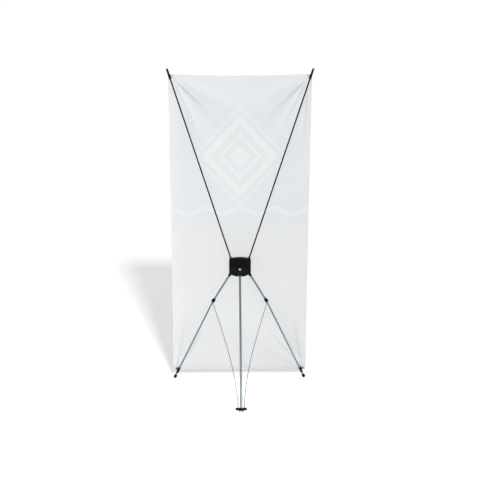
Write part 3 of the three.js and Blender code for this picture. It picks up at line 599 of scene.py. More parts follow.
def plated_steel():
    made, shader = finish("plated_steel", 0.25, Metallic=1.0)
    place = object_place(shader)
    grain = placed(FINE_GRAIN, place, Scale=1800.0)
    marks = placed(HANDLING_MARKS, place, Scale=120.0)
    fed(
        shader, Base_Color=mixed(marks["Mask"], STEEL, STEEL_HANDLED),
        Roughness=ranged(grain["Mottle"], onto=STEEL_ROUGH),
        Normal=bump(grain["Height"], METAL_RELIEF),
    )
    return made


def shaded_hinge_steel():
    """Plated steel whose upper end, round the pin, is painted dark: painted shade of the hub's
    slot.
    """
    made, shader = finish("shaded_hinge_steel", 0.3, Metallic=1.0)
    place = object_place(shader)
    shade_edge_noise = placed(HANDLING_MARKS, place, Scale=300.0)
    slot_shade = ranged(plus(axes(place)["Y"], times(shade_edge_noise["Mask"], SLOT_SHADE_RAGGED)), SLOT_SHADE_FROM)
    fed(
        shader, Base_Color=mixed(slot_shade, HINGE, SLOT_SHADE_TONE),
        Roughness=ranged(slot_shade, onto=HINGE_ROUGH),
    )
    return made


def cord_sheath():
    """Thin braid under a clear sheath: two sets of fine diagonal strands."""
    made, shader = finish("cord_sheath", 0.45, Coat_Weight=0.3)
    around, along, _ = axes(node(shader, "ShaderNodeUVMap", uv_map="wrap").outputs[0])
    waves = [
        maths("SINE", plus(times(around, lean * STRANDS_ROUND), times(along, STRANDS_ALONG)))
        for lean in (1, -1)
    ]
    braid = ranged(times(*waves), (-1, 1))
    fed(shader, Base_Color=mixed(braid, *BRAID), Normal=bump(braid, BRAID_RELIEF))
    return made


FINISHES.update(aluminium=drawn_aluminium(), steel=plated_steel())
SHADED_HINGE_STEEL = shaded_hinge_steel()
FINISHES["cord"] = cord_sheath()


def dress(obj, record_slot, material=None):
    obj.data.materials.clear()
    obj.data.materials.append(material or FINISHES[record_slot])
    return obj


for made in cords:
    dress(made, "cord")
print("finishes", [material.name for material in FINISHES.values()])

# %% [markdown]
# Joining two mouldings calls for a boolean union, so that the finished mesh is one closed
# skin with no walls hidden inside it. The modifiers are applied at once, and the helper
# pieces are thrown away. A finished piece is then dressed, rides on its body and takes the
# place of its plain solid.

# %% Join, cut and seat a piece
SOFT_EDGE = 0.0004


def combined(base, others, operation):
    """Join or cut a piece with others, which are used up."""
    for other in others:
        step = base.modifiers.new(operation, "BOOLEAN")
        step.operation = operation
        step.solver = "EXACT"
        step.object = other
    bpy.context.view_layer.update()
    graph = bpy.context.evaluated_depsgraph_get()
    shaped = bpy.data.meshes.new_from_object(base.evaluated_get(graph))
    base.modifiers.clear()
    base.data = shaped
    for other in others:
        bpy.data.objects.remove(other)
    return shade(base)


def joined(base, *others):
    return combined(base, others, "UNION")


def cut(base, *others):
    return combined(base, others, "DIFFERENCE")


def softened(obj, width=SOFT_EDGE, segments=2):
    bevel = obj.modifiers.new("soft edges", "BEVEL")
    bevel.width = width
    bevel.segments = segments
    bevel.limit_method = "ANGLE"
    bevel.angle_limit = SHARP_ANGLE
    bevel.harden_normals = False
    return obj


def seated(obj, body, record_slot, replaced, material=None):
    dress(obj, record_slot, material)
    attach(obj, body)
    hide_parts(replaced)
    print(obj.name, "on", body, len(obj.data.polygons), "faces")
    return obj


# %% [markdown]
# Rods and tubes keep the measured ends and radius of their plain solids, with round walls
# in place of flat facets. A tube's profile closes on itself, so that its bore stays open.
# The upper limbs' frames start at their pins, and a lower tube's where it meets the upper
# one in the knee.

# %% Pole rods and leg tubes
SEAT = 0.0003
RUNNING = 0.00025
OVERRUN = 0.002
COLLAR_STOP = 0.002
TUBE_WALL = 0.001
TUBE_EDGE = 0.0003
limbs = {}


def rod(name, radius, low, high, place):
    return bar(name, radius, low, high, TUBE_EDGE, place)


def tube(name, radius, low, high, place):
    bore = radius - TUBE_WALL
    corners = [(bore, low), (radius, low), (radius, high), (bore, high)]
    return lathe(name, eased(corners, TUBE_EDGE, 2, closed=True), place, closed=True)


def straight(make, name, node_name, body, record_slot, front, origin=None):
    """A bar on its plain solid's measures, with the frame, ends and radius it has."""
    low, high, radius = bar_line(node_name)
    if origin is None:
        origin = high + (high - low).normalized() * (COLLAR_STOP + SEAT)
    place = limb_frame(origin, high - low, front)
    low, high = ((place.inverted() @ end).y for end in (low, high))
    seated(make(name, radius, low, high, place), body, record_slot, node_name)
    return place, low, high, radius


for side_name, _ in SIDES:
    limbs[side_name, "pole"] = straight(
        rod, f"{side_name}_rod", f"{side_name}_pole_rod", f"{side_name}_pole", "fibreglass",
        upper_front, pivot_of(f"{side_name}_pole_fold"),
    )

for side_name, _ in SIDES:
    for part, origin in (("upper", pivot_of(f"{side_name}_leg_fold")), ("lower", None)):
        limbs[side_name, part] = straight(
            tube, f"{side_name}_{part}_tube", f"{side_name}_leg_{part}_tube",
            f"{side_name}_leg", "aluminium", lower_front, origin,
        )

rear_place, rear_low, _, rear_radius = straight(
    tube, "rear_tube", "rear_leg_tube", "rear_leg", "aluminium",
    Vector((0, -1, 0)), pivot_of("rear_leg_fold"),
)
print("limbs", {"_".join(key): [round(v, 4) for v in limb[1:]] for key, limb in limbs.items()})

# %% [markdown]
# The sheet is one film, printed on the far side, that the hooks stretch by its corners. A
# stretched sheet shows its load as soft ridges that fan out from each corner, and as a few
# sharper creases that run into the eyelets, so its height is a sum of such folds, and the
# edges between the corners sag a little. Both kinds die out before the eyelet, where the
# film lies flat under the rolled flanges. Cloth simulation would need the film's stiffness
# and gives a new answer each time a value changes, so the folds are placed from what the
# photograph shows.
# When a pole or leg folds, its corner of the sheet has to follow while the rest stays. A
# mesh can bend between two bodies only, so the film is made in four lengths that share
# their seams point for point.

# %% The sheet's frame and shape
SHEET_WIDTH = 0.8
HALF_WIDTH = SHEET_WIDTH / 2
SHEET_HEIGHT = 1.8
SHEET_THICKNESS = 0.0005
BOTTOM_GROMMET_UP = 0.013
TOP_SAG = 0.010
BOTTOM_SAG = 0.004
SIDE_SAG = 0.002
# side, top or bottom, degrees from the side edge, depth, reach and width of each ridge
RIDGES = (
    (1, "top", 40, 0.0038, 0.22, 0.034),
    (1, "top", 62, -0.0032, 0.23, 0.030),
    (-1, "top", 37, 0.0042, 0.22, 0.034),
    (-1, "top", 62, -0.0032, 0.20, 0.030),
    (-1, "top", 5, -0.003, 0.33, 0.024),
    (-1, "bottom", 32, 0.005, 0.19, 0.034),
    (-1, "bottom", 55, -0.004, 0.17, 0.030),
    (1, "bottom", 42, 0.004, 0.20, 0.040),
)
# the same six values for the sharper creases that run into the eyelets
CREASES = (
    (1, "top", 46.4, -0.0029, 0.12, 0.0085),
    (1, "top", 25.5, -0.0030, 0.11, 0.0062),
    (-1, "top", 45.0, -0.0034, 0.12, 0.0085),
    (-1, "top", 27.2, -0.0030, 0.11, 0.0062),
    (-1, "top", 3.6, -0.0026, 0.14, 0.0090),
    (1, "bottom", 33.0, -0.0030, 0.12, 0.0080),
    (1, "bottom", 10.7, -0.0026, 0.14, 0.0100),
    (-1, "bottom", 39.0, -0.0034, 0.14, 0.0068),
    (-1, "bottom", 10.0, -0.0019, 0.14, 0.0090),
)
# how near an eyelet a fold is gone, and how far from it the fold is whole
RIDGES_CALM = (0.034, 0.090)
CREASES_CALM = (0.0095, 0.030)
# a fold's width at its corner, as a share of its width at its reach
FOLD_ROOT = 0.25

sheet_up = (grommet_at["left", "top"] - grommet_at["left", "bottom"]).normalized()
sheet_across = (grommet_at["left", "top"] - grommet_at["right", "top"]).normalized()
bottom_middle = (grommet_at["left", "bottom"] + grommet_at["right", "bottom"]) / 2
sheet_place = limb_frame(
    bottom_middle - sheet_up * BOTTOM_GROMMET_UP, sheet_up, sheet_across.cross(sheet_up),
)
grommet_local = {key: sheet_place.inverted() @ at for key, at in grommet_at.items()}
CORNERS = {
    (side, end): Vector((side * HALF_WIDTH, SHEET_HEIGHT if end == "top" else 0))
    for _, side, end, _ in CORNER_LIMBS
}
EYELETS = {
    (side, end): grommet_local[side_name, end].to_2d()
    for side_name, side, end, _ in CORNER_LIMBS
}


def smooth(value):
    value = np.clip(value, 0, 1)
    return value * value * (3 - 2 * value)


def folded(x, up, folds, centre):
    """Height of a fan of folds, each a line that leaves its corner and widens on its way."""
    lift = np.zeros_like(x)
    for side, end, degrees, depth, reach, width in folds:
        corner = centre[side, end]
        inward = side * (corner.x - x)
        along = corner.y - up if end == "top" else up - corner.y
        sine, cosine = math.sin(math.radians(degrees)), math.cos(math.radians(degrees))
        share = np.maximum((inward * sine + along * cosine) / reach, 0)
        spread = (inward * cosine - along * sine) / (width * (FOLD_ROOT + share))
        lift += depth * share * np.exp(1 - share - spread ** 2)
    return lift


def sheet_lift(x, up):
    """How far the film stands out towards its printed side."""
    nearest = np.min([np.hypot(x - at.x, up - at.y) for at in EYELETS.values()], axis=0)
    lift = np.zeros_like(x)
    for folds, centre, (near, far) in (
        (RIDGES, CORNERS, RIDGES_CALM), (CREASES, EYELETS, CREASES_CALM),
    ):
        lift += folded(x, up, folds, centre) * smooth((nearest - near) / (far - near))
    return lift


def sheet_outline(across, share):
    """The point of the flat film at a share of its half width and of its height."""
    sag = 1 - across ** 2
    low, high = BOTTOM_SAG * sag, SHEET_HEIGHT - TOP_SAG * sag
    up = low + share * (high - low)
    waist = SIDE_SAG * 4 * share * (1 - share)
    return across * (HALF_WIDTH - waist), up


print("sheet's foot at", [round(c, 4) for c in sheet_place.translation])

# %% [markdown]
# A quarter of the film is a grid, fine near its grommet, where the creases are, and coarse
# towards the seams. Front and back faces are the same grid, half a thickness apart, and a
# rim closes them. The hole is cut last.

# %% One quarter of the sheet
FINE_STEP, COARSE_STEP = 0.005, 0.011
FINE_ACROSS, FINE_ALONG = 0.25, 0.38
SEAM_UP = 0.700
TALL = {"top": SHEET_HEIGHT - SEAM_UP, "bottom": SEAM_UP}
UPWARD = {"top": 1, "bottom": -1}
HOLE_RADIUS = 0.0055
HOLE_DEEP = 0.01


def spaced(length, fine):
    """Steps from 0 to a length, in metres, with the fine ones at the far end."""
    coarse = np.linspace(0, length - fine, round((length - fine) / COARSE_STEP) + 1)
    last = np.linspace(length - fine, length, round(fine / FINE_STEP) + 1)
    return np.concatenate([coarse[:-1], last])


def quarter(side_name, side, end):
    ups = SEAM_UP + UPWARD[end] * spaced(TALL[end], FINE_ALONG)
    xs = spaced(HALF_WIDTH, FINE_ACROSS)
    share, across = np.meshgrid(ups / SHEET_HEIGHT, side * xs / HALF_WIDTH, indexing="ij")
    x, up = (grid.ravel() for grid in sheet_outline(across, share))
    lift = sheet_lift(x, up)
    points = [
        point for face in (1, -1) for point in zip(x, up, lift + face * SHEET_THICKNESS / 2)
    ]
    count = len(x)
    grid = np.arange(count).reshape(len(ups), len(xs))
    faces = []
    for offset in (0, count):
        g = grid + offset
        quads = np.stack([g[:-1, :-1], g[:-1, 1:], g[1:, 1:], g[1:, :-1]], -1).reshape(-1, 4)
        faces += quads.tolist()
    rim = [*grid[0], *grid[1:, -1], *grid[-1, -2::-1], *grid[-2:0:-1, 0]]
    for a, b in zip(rim, rim[1:] + rim[:1]):
        faces.append((int(a), int(b), int(b) + count, int(a) + count))
    made = mesh_object(f"{side_name}_{end}_sheet", points, faces, sheet_place)
    mapped(made, "film", [*zip(x, up)] * 2)
    at = Matrix.Translation(grommet_local[side_name, end])
    return cut(made, bar("hole", HOLE_RADIUS, -HOLE_DEEP, HOLE_DEEP, 0, sheet_place @ at @ lying))


# %% [markdown]
# The film is satin white on the side that the photograph shows, and the print behind it
# only glimmers through. The design is a plain one of its own: nested diamonds over a row
# of chevrons, in pale blue grey. Its field fades out below, stops short of the hem, whose
# line bows with the pull, and leaves a margin at one side edge. Both sides read the same
# pattern, placed by the film's own coordinates, so that it can't slide when the film bends;
# the printed side shows it at full strength and the back as a faint tint.
# Thin film also passes light on inside itself, which subsurface scattering over a
# millimetre stands for. It has aged unevenly in soft clouds, and its colour is painted
# darker everywhere but a strip along one side edge. Painted shade darkens it towards one
# side, less so above, and towards the foot, and most at the very foot. The bottom of each
# crease is painted darker as well, as painted shade, so the creases' lines are a mask too.

# %% The sheet's print and its creases
PRINT_EDGE = 0.0016
PRINT_FADE, PRINT_HIGH, PRINT_HEM_EDGE, PRINT_BOW = (0.84, 1.0), 1.766, 0.002, 0.24
PRINT_MARGIN = (0.392, 0.335)
DIAMOND_MIDDLE, DIAMOND_WIDE, DIAMOND_TALL = 1.33, 0.30, 0.33
DIAMOND_BANDS = ((-1, 0.2), (0.34, 0.42), (0.56, 0.72), (0.84, 0.88))
CHEVRON_UP, CHEVRON_PITCH, CHEVRON_SLOPE, CHEVRON_WIDE = 1.02, 0.1, 0.5, 0.022
# half width of a crease's line: its share of the crease's width at the eyelet and what it
# gains by the crease's reach, then its soft edge, in half widths
LINE_ROOT, LINE_GAIN, LINE_EDGE = 0.35, 0.4, (0.0, 1.6)
# where a line starts, in metres from the eyelet, and where it fades, in reaches
LINE_STARTS, LINE_FADES = (0.006, 0.02), (0.5, 3.2)


def make_print_pattern():
    """Masks over the film: Ground is the tinted field and Motif the light figures on it."""
    tree, given, out = effect("Print pattern", {}, ("Ground", "Motif"))
    across, up, _ = axes(given["Place"])
    x = maths("ABSOLUTE", across)

    def inside(value, low, high):
        rise = ranged(value, (low - PRINT_EDGE, low + PRINT_EDGE))
        fall = ranged(value, (high - PRINT_EDGE, high + PRINT_EDGE), (1, 0))
        return times(rise, fall)

    below_hem = plus(less(PRINT_HIGH, up), times(x, x, PRINT_BOW))
    ground = times(
        ranged(up, PRINT_FADE), ranged(below_hem, (-PRINT_HEM_EDGE, PRINT_HEM_EDGE)),
        ranged(across, PRINT_MARGIN),
    )
    above = maths("ABSOLUTE", less(up, DIAMOND_MIDDLE))
    outward = plus(over(x, DIAMOND_WIDE), over(above, DIAMOND_TALL))
    zigzag = times(maths("PINGPONG", x, CHEVRON_PITCH), CHEVRON_SLOPE)
    figures = [inside(outward, *band) for band in DIAMOND_BANDS]
    figures.append(inside(plus(less(up, CHEVRON_UP), zigzag), 0, CHEVRON_WIDE))
    link(ground, out["Ground"])
    link(times(most(*figures), ground), out["Motif"])
    return tree


def make_crease_shade_mask():
    """A mask of painted shade over the film: 1 in the bottom of each crease, where it darkens the
    colour.
    """
    tree, given, out = effect("Crease lines", {"Share": 0.5}, ("Mask",))
    x, up, _ = axes(given["Place"])
    lines = []
    for side, end, degrees, _, reach, width in CREASES:
        corner = EYELETS[side, end]
        sine, cosine = math.sin(math.radians(degrees)), math.cos(math.radians(degrees))
        inward = times(less(corner.x, x), side)
        along = times(less(corner.y, up), UPWARD[end])
        way = plus(times(inward, sine), times(along, cosine))
        aside = maths("ABSOLUTE", less(times(inward, cosine), times(along, sine)))
        half = plus(times(way, width * LINE_GAIN / reach), width * LINE_ROOT)
        lines.append(times(
            ranged(over(aside, half), LINE_EDGE, (1, 0)), ranged(way, LINE_STARTS),
            ranged(way, [reach * share for share in LINE_FADES], (1, 0)),
        ))
    link(times(most(*lines), given["Share"]), out["Mask"])
    return tree


PRINT_PATTERN, CREASE_SHADE_MASK = make_print_pattern(), make_crease_shade_mask()
print("crease lines", len(CREASES), "in", len(CREASE_SHADE_MASK.nodes), "nodes")

# %% The sheet's two finishes
FILM_SCATTER = 0.001
FILM_RELIEF = 0.00004
FILM_ROUGH_SPREAD = (-0.05, 0.06)
CREASE_SHADE = 0.095
FILM_AGE_AND_SHADE = 0.08
# where the film is painted darker, and by how much: painted shade across it, but less above;
# darker but for a strip along one edge; painted shade towards the foot; aged in clouds; and
# more painted shade at the very foot
SIDE_SHADE, SIDE_SHADE_ABOVE = (0.29, -0.4), ((1.35, 0.8), (0.25, 0.5))
DARKER_INSIDE_EDGE = (0.4, 0.29), (0, 0.5)
FOOT_SHADE = (0.45, 0.0), (0, 0.5)
AGED_CLOUDS = 0.12
FOOT_EDGE_SHADE = (0.045, 0.0), (0, 0.7)
# plain film, printed field and light figures
BACK_TONES = (0.551, 0.558, 0.565), (0.540, 0.557, 0.570), (0.584, 0.587, 0.588)
FACE_TONES = (0.78, 0.785, 0.79), (0.30, 0.39, 0.46), (0.80, 0.80, 0.79)


def film(name, tones, roughness):
    made, shader = finish(
        name, roughness, Specular_IOR_Level=0.35, Subsurface_Weight=1.0,
        Subsurface_Radius=(1, 1, 1), Subsurface_Scale=FILM_SCATTER,
    )
    plain, ground, motif = tones
    uv = node(shader, "ShaderNodeUVMap", uv_map="film").outputs[0]
    x, up, _ = axes(uv)
    figure = placed(PRINT_PATTERN, uv)
    grain = placed(FINE_GRAIN, uv, Scale=1600.0)
    cloud = placed(HANDLING_MARKS, uv, Scale=3.0)
    crease = placed(CREASE_SHADE_MASK, uv, Share=CREASE_SHADE)
    inked = mixed(figure["Motif"], mixed(figure["Ground"], plain, ground), motif)
    # painted shade towards one side, less above, towards the foot and most at the very foot;
    # darker but for one edge strip; and clouds of uneven age
    age_and_shade = plus(
        times(ranged(x, SIDE_SHADE), ranged(up, *SIDE_SHADE_ABOVE)), ranged(x, *DARKER_INSIDE_EDGE),
        times(cloud["Mask"], AGED_CLOUDS), ranged(up, *FOOT_SHADE), ranged(up, *FOOT_EDGE_SHADE),
    )
    # the crease lines add painted shade to that, and both darken the colour
    painted_darkening = plus(times(age_and_shade, FILM_AGE_AND_SHADE), crease["Mask"])
    rough = [roughness + change for change in FILM_ROUGH_SPREAD]
    fed(
        shader, Base_Color=mixed(painted_darkening, inked, (0, 0, 0)),
        Roughness=ranged(grain["Mottle"], onto=rough),
        Normal=bump(grain["Height"], FILM_RELIEF),
    )
    return made


FILM_BACK, FILM_PRINT = film("film_back", BACK_TONES, 0.55), film("film_print", FACE_TONES, 0.38)
print("film", FILM_BACK.name, FILM_PRINT.name)

# %% [markdown]
# Each length of film takes the print on the faces towards the printed side and the plain
# back on all others, its place is baked into its mesh, and the model's plain sheet is hidden.

# %% The four lengths of film
def ink(obj):
    """Faces towards the printed side take the print, and all others the plain back."""
    obj.data.materials.clear()
    obj.data.materials.append(FILM_BACK)
    obj.data.materials.append(FILM_PRINT)
    for polygon in obj.data.polygons:
        polygon.material_index = int(polygon.normal.z > 0.5)


film_lengths = []
for side_name, side, end, limb in CORNER_LIMBS:
    made = quarter(side_name, side, end)
    film_lengths.append(made)
    ink(made)
    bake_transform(made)
    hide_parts("banner_sheet")
    print(made.name, len(made.data.polygons), "faces")

# %% [markdown]
# Each corner of the sheet has a pressed eyelet: a barrel through the film whose two flanges
# are rolled over. One closed profile makes barrel and flanges at once, and easing its
# corners gives the roll.

# %% Grommets
GROMMET_BORE = 0.0045
GROMMET_BARREL = 0.0052
GROMMET_RIM = 0.00775
FLANGE_IN = 0.0007
FLANGE_OUT = 0.0014
ROLL = 0.0004
ROLL_EASE = 0.0003
FLANGE = [
    (GROMMET_BARREL, FLANGE_IN), (GROMMET_RIM, FLANGE_IN), (GROMMET_RIM - ROLL, FLANGE_OUT),
    (GROMMET_BORE + ROLL, FLANGE_OUT), (GROMMET_BORE, FLANGE_IN),
]
EYELET = [(radius, -height) for radius, height in FLANGE[::-1]] + FLANGE
for side_name, _, end, limb in CORNER_LIMBS:
    place = sheet_place @ Matrix.Translation(grommet_local[side_name, end]) @ lying
    profile = eased(EYELET, ROLL_EASE, 3, closed=True)
    made = lathe(f"{side_name}_{end}_eyelet", profile, place, closed=True)
    seated(made, f"{side_name}_{limb}", "steel", f"{side_name}_{end}_grommet")

# %% [markdown]
# A hook is moulded in one with its cap or sleeve: a short thick stem leaves the wall and
# ends in a round knob behind the grommet, and a slimmer finger goes on through the grommet,
# then turns out and away so that the pull of the film keeps it in. Stem and finger are each
# swept along a line, and a free end is drawn in to a dome by shrinking the last rings.

# %% Hooks
HOOK = SimpleNamespace(
    gauge=0.0044, pole_stem=0.0058, sleeve_stem=0.0078, root_out=0.0015,
    root_forward=0.0015, pole_root_above=0.008, stem_clear=0.002, ahead=0.0039,
    tip_out=0.0032, tip_along=0.007, tip_rise=0.0014, bend_share=0.25,
)
STEM_SIDES, FINGER_SIDES, FINGER_PER_SPAN, DOME_STEPS = 32, 24, 10, 7
GROMMET_HOLE = 2 * GROMMET_BORE


def domed(name, line, radius, sides, place):
    """A round bar along a line, with a half ball at its end."""
    heading, end = (line[-1] - line[-2]).normalized(), line[-1]
    arc = quarter_arc(DOME_STEPS)[1:-1]
    radii = [radius] * len(line) + [radius * cosine for _, cosine in arc]
    rings = [end + heading * radius * sine for sine, _ in arc]
    return sweep(name, [*line, *rings], radii, sides, place)


def hook(root, seat, bear_x, bear_y, stem, place):
    """Stem and finger that carry the grommet at a seat, which the film pulls to one side."""
    h = HOOK
    play = (GROMMET_HOLE - h.gauge) / 2 - SEAT
    eye = seat + Vector((bear_x, bear_y, 0)) * (play * math.sqrt(0.5))
    knob = eye - Vector((0, 0, stem / 2 + h.stem_clear))
    beyond = eye + Vector((0, 0, h.ahead))
    out = Vector((bear_x * h.tip_out, bear_y * h.tip_along, 0))
    turning = [beyond + out * h.bend_share, beyond + out + Vector((0, 0, h.tip_rise))]
    return [
        domed("stem", [root, (root + knob) / 2, knob], stem / 2, STEM_SIDES, place),
        domed("finger", through([knob, eye, *turning], FINGER_PER_SPAN), h.gauge / 2,
              FINGER_SIDES, place),
    ]


# %% [markdown]
# The pole's tip is a long moulded cap: a bell mouth that takes the rod, a plain barrel, a
# groove near the end to grip, and a domed crown. It is turned from one profile, joined to
# its hook, and bored last, so that the hook's root doesn't stand into the bore.

# %% Pole hook caps
CAP = SimpleNamespace(
    mouth=0.0066, barrel=0.0062, neck=0.005, mouth_length=0.005,
    mouth_taper=0.005, length=0.062, bore_depth=0.046, groove_from=0.015,
    groove_low=0.012, groove_high=0.009, groove_to=0.006, crown=0.0025,
    crown_radius=0.0042, crown_rise=0.0006, ease=0.0014,
)
POLE_ROD = 0.004


def pole_cap(side_name, side):
    c = CAP
    place, _, rod_end, _ = limbs[side_name, "pole"]
    tip = rod_end + SEAT - c.bore_depth + c.length
    mouth = tip - c.length
    body = lathe(f"{side_name}_hook_cap", eased([
        (0, mouth), (c.mouth, mouth), (c.mouth, mouth + c.mouth_length),
        (c.barrel, mouth + c.mouth_length + c.mouth_taper),
        (c.barrel, tip - c.groove_from), (c.neck, tip - c.groove_low),
        (c.neck, tip - c.groove_high), (c.barrel, tip - c.groove_to),
        (c.barrel, tip - c.crown), (c.crown_radius, tip - c.crown_rise),
        (0, tip),
    ], c.ease), place)
    seat = place.inverted() @ grommet_at[side_name, "top"]
    root_up = seat.y + HOOK.pole_root_above
    root = Vector((-side * HOOK.root_out, root_up, HOOK.root_forward))
    joined(body, *hook(root, seat, side, 1, HOOK.pole_stem, place))
    cut(body, bar("bore", POLE_ROD + SEAT, mouth - OVERRUN, mouth + c.bore_depth, 0, place))
    seated(body, f"{side_name}_pole", "moulded_black", f"{side_name}_pole_hook_cap")


for side_name, side in SIDES:
    pole_cap(side_name, side)

# %% [markdown]
# The collar at the knee is a bell that is a little flatter than it is wide. Each tube has
# its own socket in it, the lower one turned further down, and a notch behind at each end
# shows a little of the tube. The stay cord's end sits in a small boss that points along the
# cord, so the boss takes its direction from the cord's first two points.

# %% Knee collars and the cords' bosses
COLLAR = SimpleNamespace(
    half=0.0125, top=0.0075, shoulder=0.0095, shoulder_up=0.004, bell=0.011,
    bell_from=0.003, bell_to=0.008, rim=0.0095, lip=0.001, depth_share=0.86,
    notch=0.005, arm=0.003, ease=0.0025,
)
BOSS = SimpleNamespace(radius=0.0033, length=0.008, bore=0.002, depth=0.004, ease=0.0005)
CLEAR_OF_BORE = 0.0001
UPPER_TUBE, LOWER_TUBE = 0.0054, 0.0047


def cord_boss(end, beside):
    """The boss round a cord's end, and the room for the cord in it."""
    b = BOSS
    place = limb_frame(end, beside - end, Vector((0, 0, 1)))
    low = b.depth - b.length - SEAT
    boss = bar("boss", b.radius, low, low + b.length, b.ease, place)
    return boss, bar("room", b.bore, -SEAT, b.length, 0, place)


def knee_collar(side_name, side):
    c, half = COLLAR, COLLAR.half
    place, tube_end, _, _ = limbs[side_name, "upper"]
    shin_place = limbs[side_name, "lower"][0]
    knee = place @ Matrix.Translation((0, tube_end - COLLAR_STOP - SEAT, 0))
    body = lathe(f"{side_name}_collar", eased([
        (0, -half), (c.rim - c.lip, -half), (c.rim, c.lip - half),
        (c.bell, -c.bell_to), (c.bell, -c.bell_from),
        (c.shoulder, c.shoulder_up), (c.top, half - c.lip),
        (c.top - c.lip, half), (0, half),
    ], c.ease), knee)
    for vertex in body.data.vertices:
        vertex.co.z *= c.depth_share
    end, beside = stay_route(side)[:2]
    boss, room = cord_boss(end, beside)
    to_boss = end - (beside - end).normalized() * OVERRUN
    joined(body, sweep("arm", [knee.translation, to_boss], [c.arm] * 2, STEM_SIDES))
    wide = UPPER_TUBE + SEAT + CLEAR_OF_BORE
    notches = [
        block("notch", (-wide, low, -c.bell), (wide, high, 0), knee)
        for low, high in (
            (half - c.notch, half + OVERRUN), (-half - OVERRUN, c.notch - half),
        )
    ]
    cut(
        body, bar("bore", UPPER_TUBE + SEAT, COLLAR_STOP, half + OVERRUN, 0, knee),
        bar("bore", LOWER_TUBE + SEAT, -half - OVERRUN, -COLLAR_STOP, 0, shin_place), *notches,
    )
    joined(body, boss)
    cut(body, room)
    softened(body)
    seated(body, f"{side_name}_leg", "moulded_black", f"{side_name}_knee_collar")


for side_name, side in SIDES:
    knee_collar(side_name, side)

# %% [markdown]
# The lower hook sits on a sleeve near the foot, with a thumb tab beside it and a notch
# behind at its top. Below it the leg ends in a rubber boot: a half ball under a short
# barrel, worn flat where it stands, so it is trimmed at the floor.

# %% Hook sleeves and foot caps
SLEEVE = SimpleNamespace(
    radius=0.00775, length=0.038, foot_gap=0.0085, notch=0.006, ease=0.0012,
    tab_half=0.003, tab_thick=0.0023, tab_length=0.014, tab_out=0.005,
    tab_below=0.015, tab_lean=math.radians(15), tab_ease=0.0015,
)
BOOT = SimpleNamespace(radius=0.00875, length=0.0215, bore_depth=0.012, ease=0.0012, soft=0.0003)
BALL_STEPS = 16


def foot_up(side_name):
    """The boot's ball, as a height along the shin from the knee."""
    tube_end = limbs[side_name, "lower"][1]
    return tube_end - SEAT + BOOT.bore_depth - BOOT.length + BOOT.radius


def hook_sleeve(side_name, side):
    s = SLEEVE
    place = limbs[side_name, "lower"][0]
    low = foot_up(side_name) + BOOT.length + s.foot_gap
    high = low + s.length
    body = bar(f"{side_name}_sleeve", s.radius, low, high, s.ease, place)
    tab_place = place @ Matrix.Translation((side * s.tab_out, high - s.tab_below, 0))
    tab_place = tab_place @ Matrix.Rotation(-side * s.tab_lean, 4, "Z")
    tab = bar("tab", s.tab_half, 0, s.tab_length, s.tab_ease, tab_place)
    for vertex in tab.data.vertices:
        vertex.co.z *= s.tab_thick / s.tab_half
    seat = place.inverted() @ grommet_at[side_name, "bottom"]
    root = Vector((side * HOOK.root_out, seat.y, HOOK.root_forward))
    joined(body, tab, *hook(root, seat, side, -1, HOOK.sleeve_stem, place))
    wide = LOWER_TUBE + SEAT + CLEAR_OF_BORE
    notch_low, notch_high = high - s.notch, high + s.notch
    cut(
        body, bar("bore", wide, low - OVERRUN, high + s.tab_length, 0, place),
        block("notch", (-wide, notch_low, -2 * s.radius), (wide, notch_high, 0), place),
    )
    softened(body)
    seated(body, f"{side_name}_leg", "moulded_black", f"{side_name}_hook_sleeve")


def foot_cap(side_name):
    b, radius = BOOT, BOOT.radius
    place = limbs[side_name, "lower"][0]
    foot = foot_up(side_name)
    top = foot + b.length - radius
    ball = [(radius * sine, foot - radius * cosine) for sine, cosine in quarter_arc(BALL_STEPS)]
    rim = eased([ball[-1], (radius, top), (LOWER_TUBE, top), (0, top)], b.ease)
    body = lathe(f"{side_name}_boot", ball[:-1] + rim, place)
    cut(
        body, bar("bore", LOWER_TUBE + SEAT, top - b.bore_depth, top + OVERRUN, 0, place),
        block("below the floor", (-1, -1, -0.1), (1, 1, 0)),
    )
    softened(body, b.soft)
    seated(body, f"{side_name}_leg", "rubber", f"{side_name}_foot_cap")


for side_name, side in SIDES:
    hook_sleeve(side_name, side)
    foot_cap(side_name)

# %% [markdown]
# The hub's own frame has its origin on the crease where the two halves meet. Inside it each
# limb turns on a knuckle: an eye round its pin, and a barrel that takes the tube or rod and
# has a rounded rim where it leaves the hub. The rear leg's knuckle is plain metal, an eye
# with a plug that goes into the tube.

# %% Knuckles and pins
LEG_PIVOT_DOWN = 0.036
CAVITY = 0.0085
PIN = SimpleNamespace(radius=0.002, cross_half=0.0097, rear_half=0.013, ease=0.0004)
POLE_KNUCKLE = SimpleNamespace(
    eye=0.0085, barrel=0.006, rim_in=0.001, rim_along=0.001, reach=0.027,
)
LEG_KNUCKLE = SimpleNamespace(
    eye=0.0095, barrel=0.0081, rim_in=0.0021, rim_along=0.005, reach=0.027,
)
REAR_KNUCKLE = SimpleNamespace(
    eye=0.0075, half=0.00725, plug=0.005, plug_reach=0.038, ease=0.0005,
)
EYE_EASE = 0.0004
RIM_STEPS = 8
BORE_START = 0.011
PIN_BORE = PIN.radius + RUNNING
X_AXIS = Vector((1, 0, 0))

lower_up, upper_up = lower_front.cross(X_AXIS), upper_front.cross(X_AXIS)
leg_pivot = pivot_of("left_leg_fold")
crease = Vector((0, leg_pivot.y, leg_pivot.z)) + lower_up * LEG_PIVOT_DOWN
lower_place = limb_frame(crease, lower_up, lower_front)
upper_place = limb_frame(crease, upper_up, upper_front)


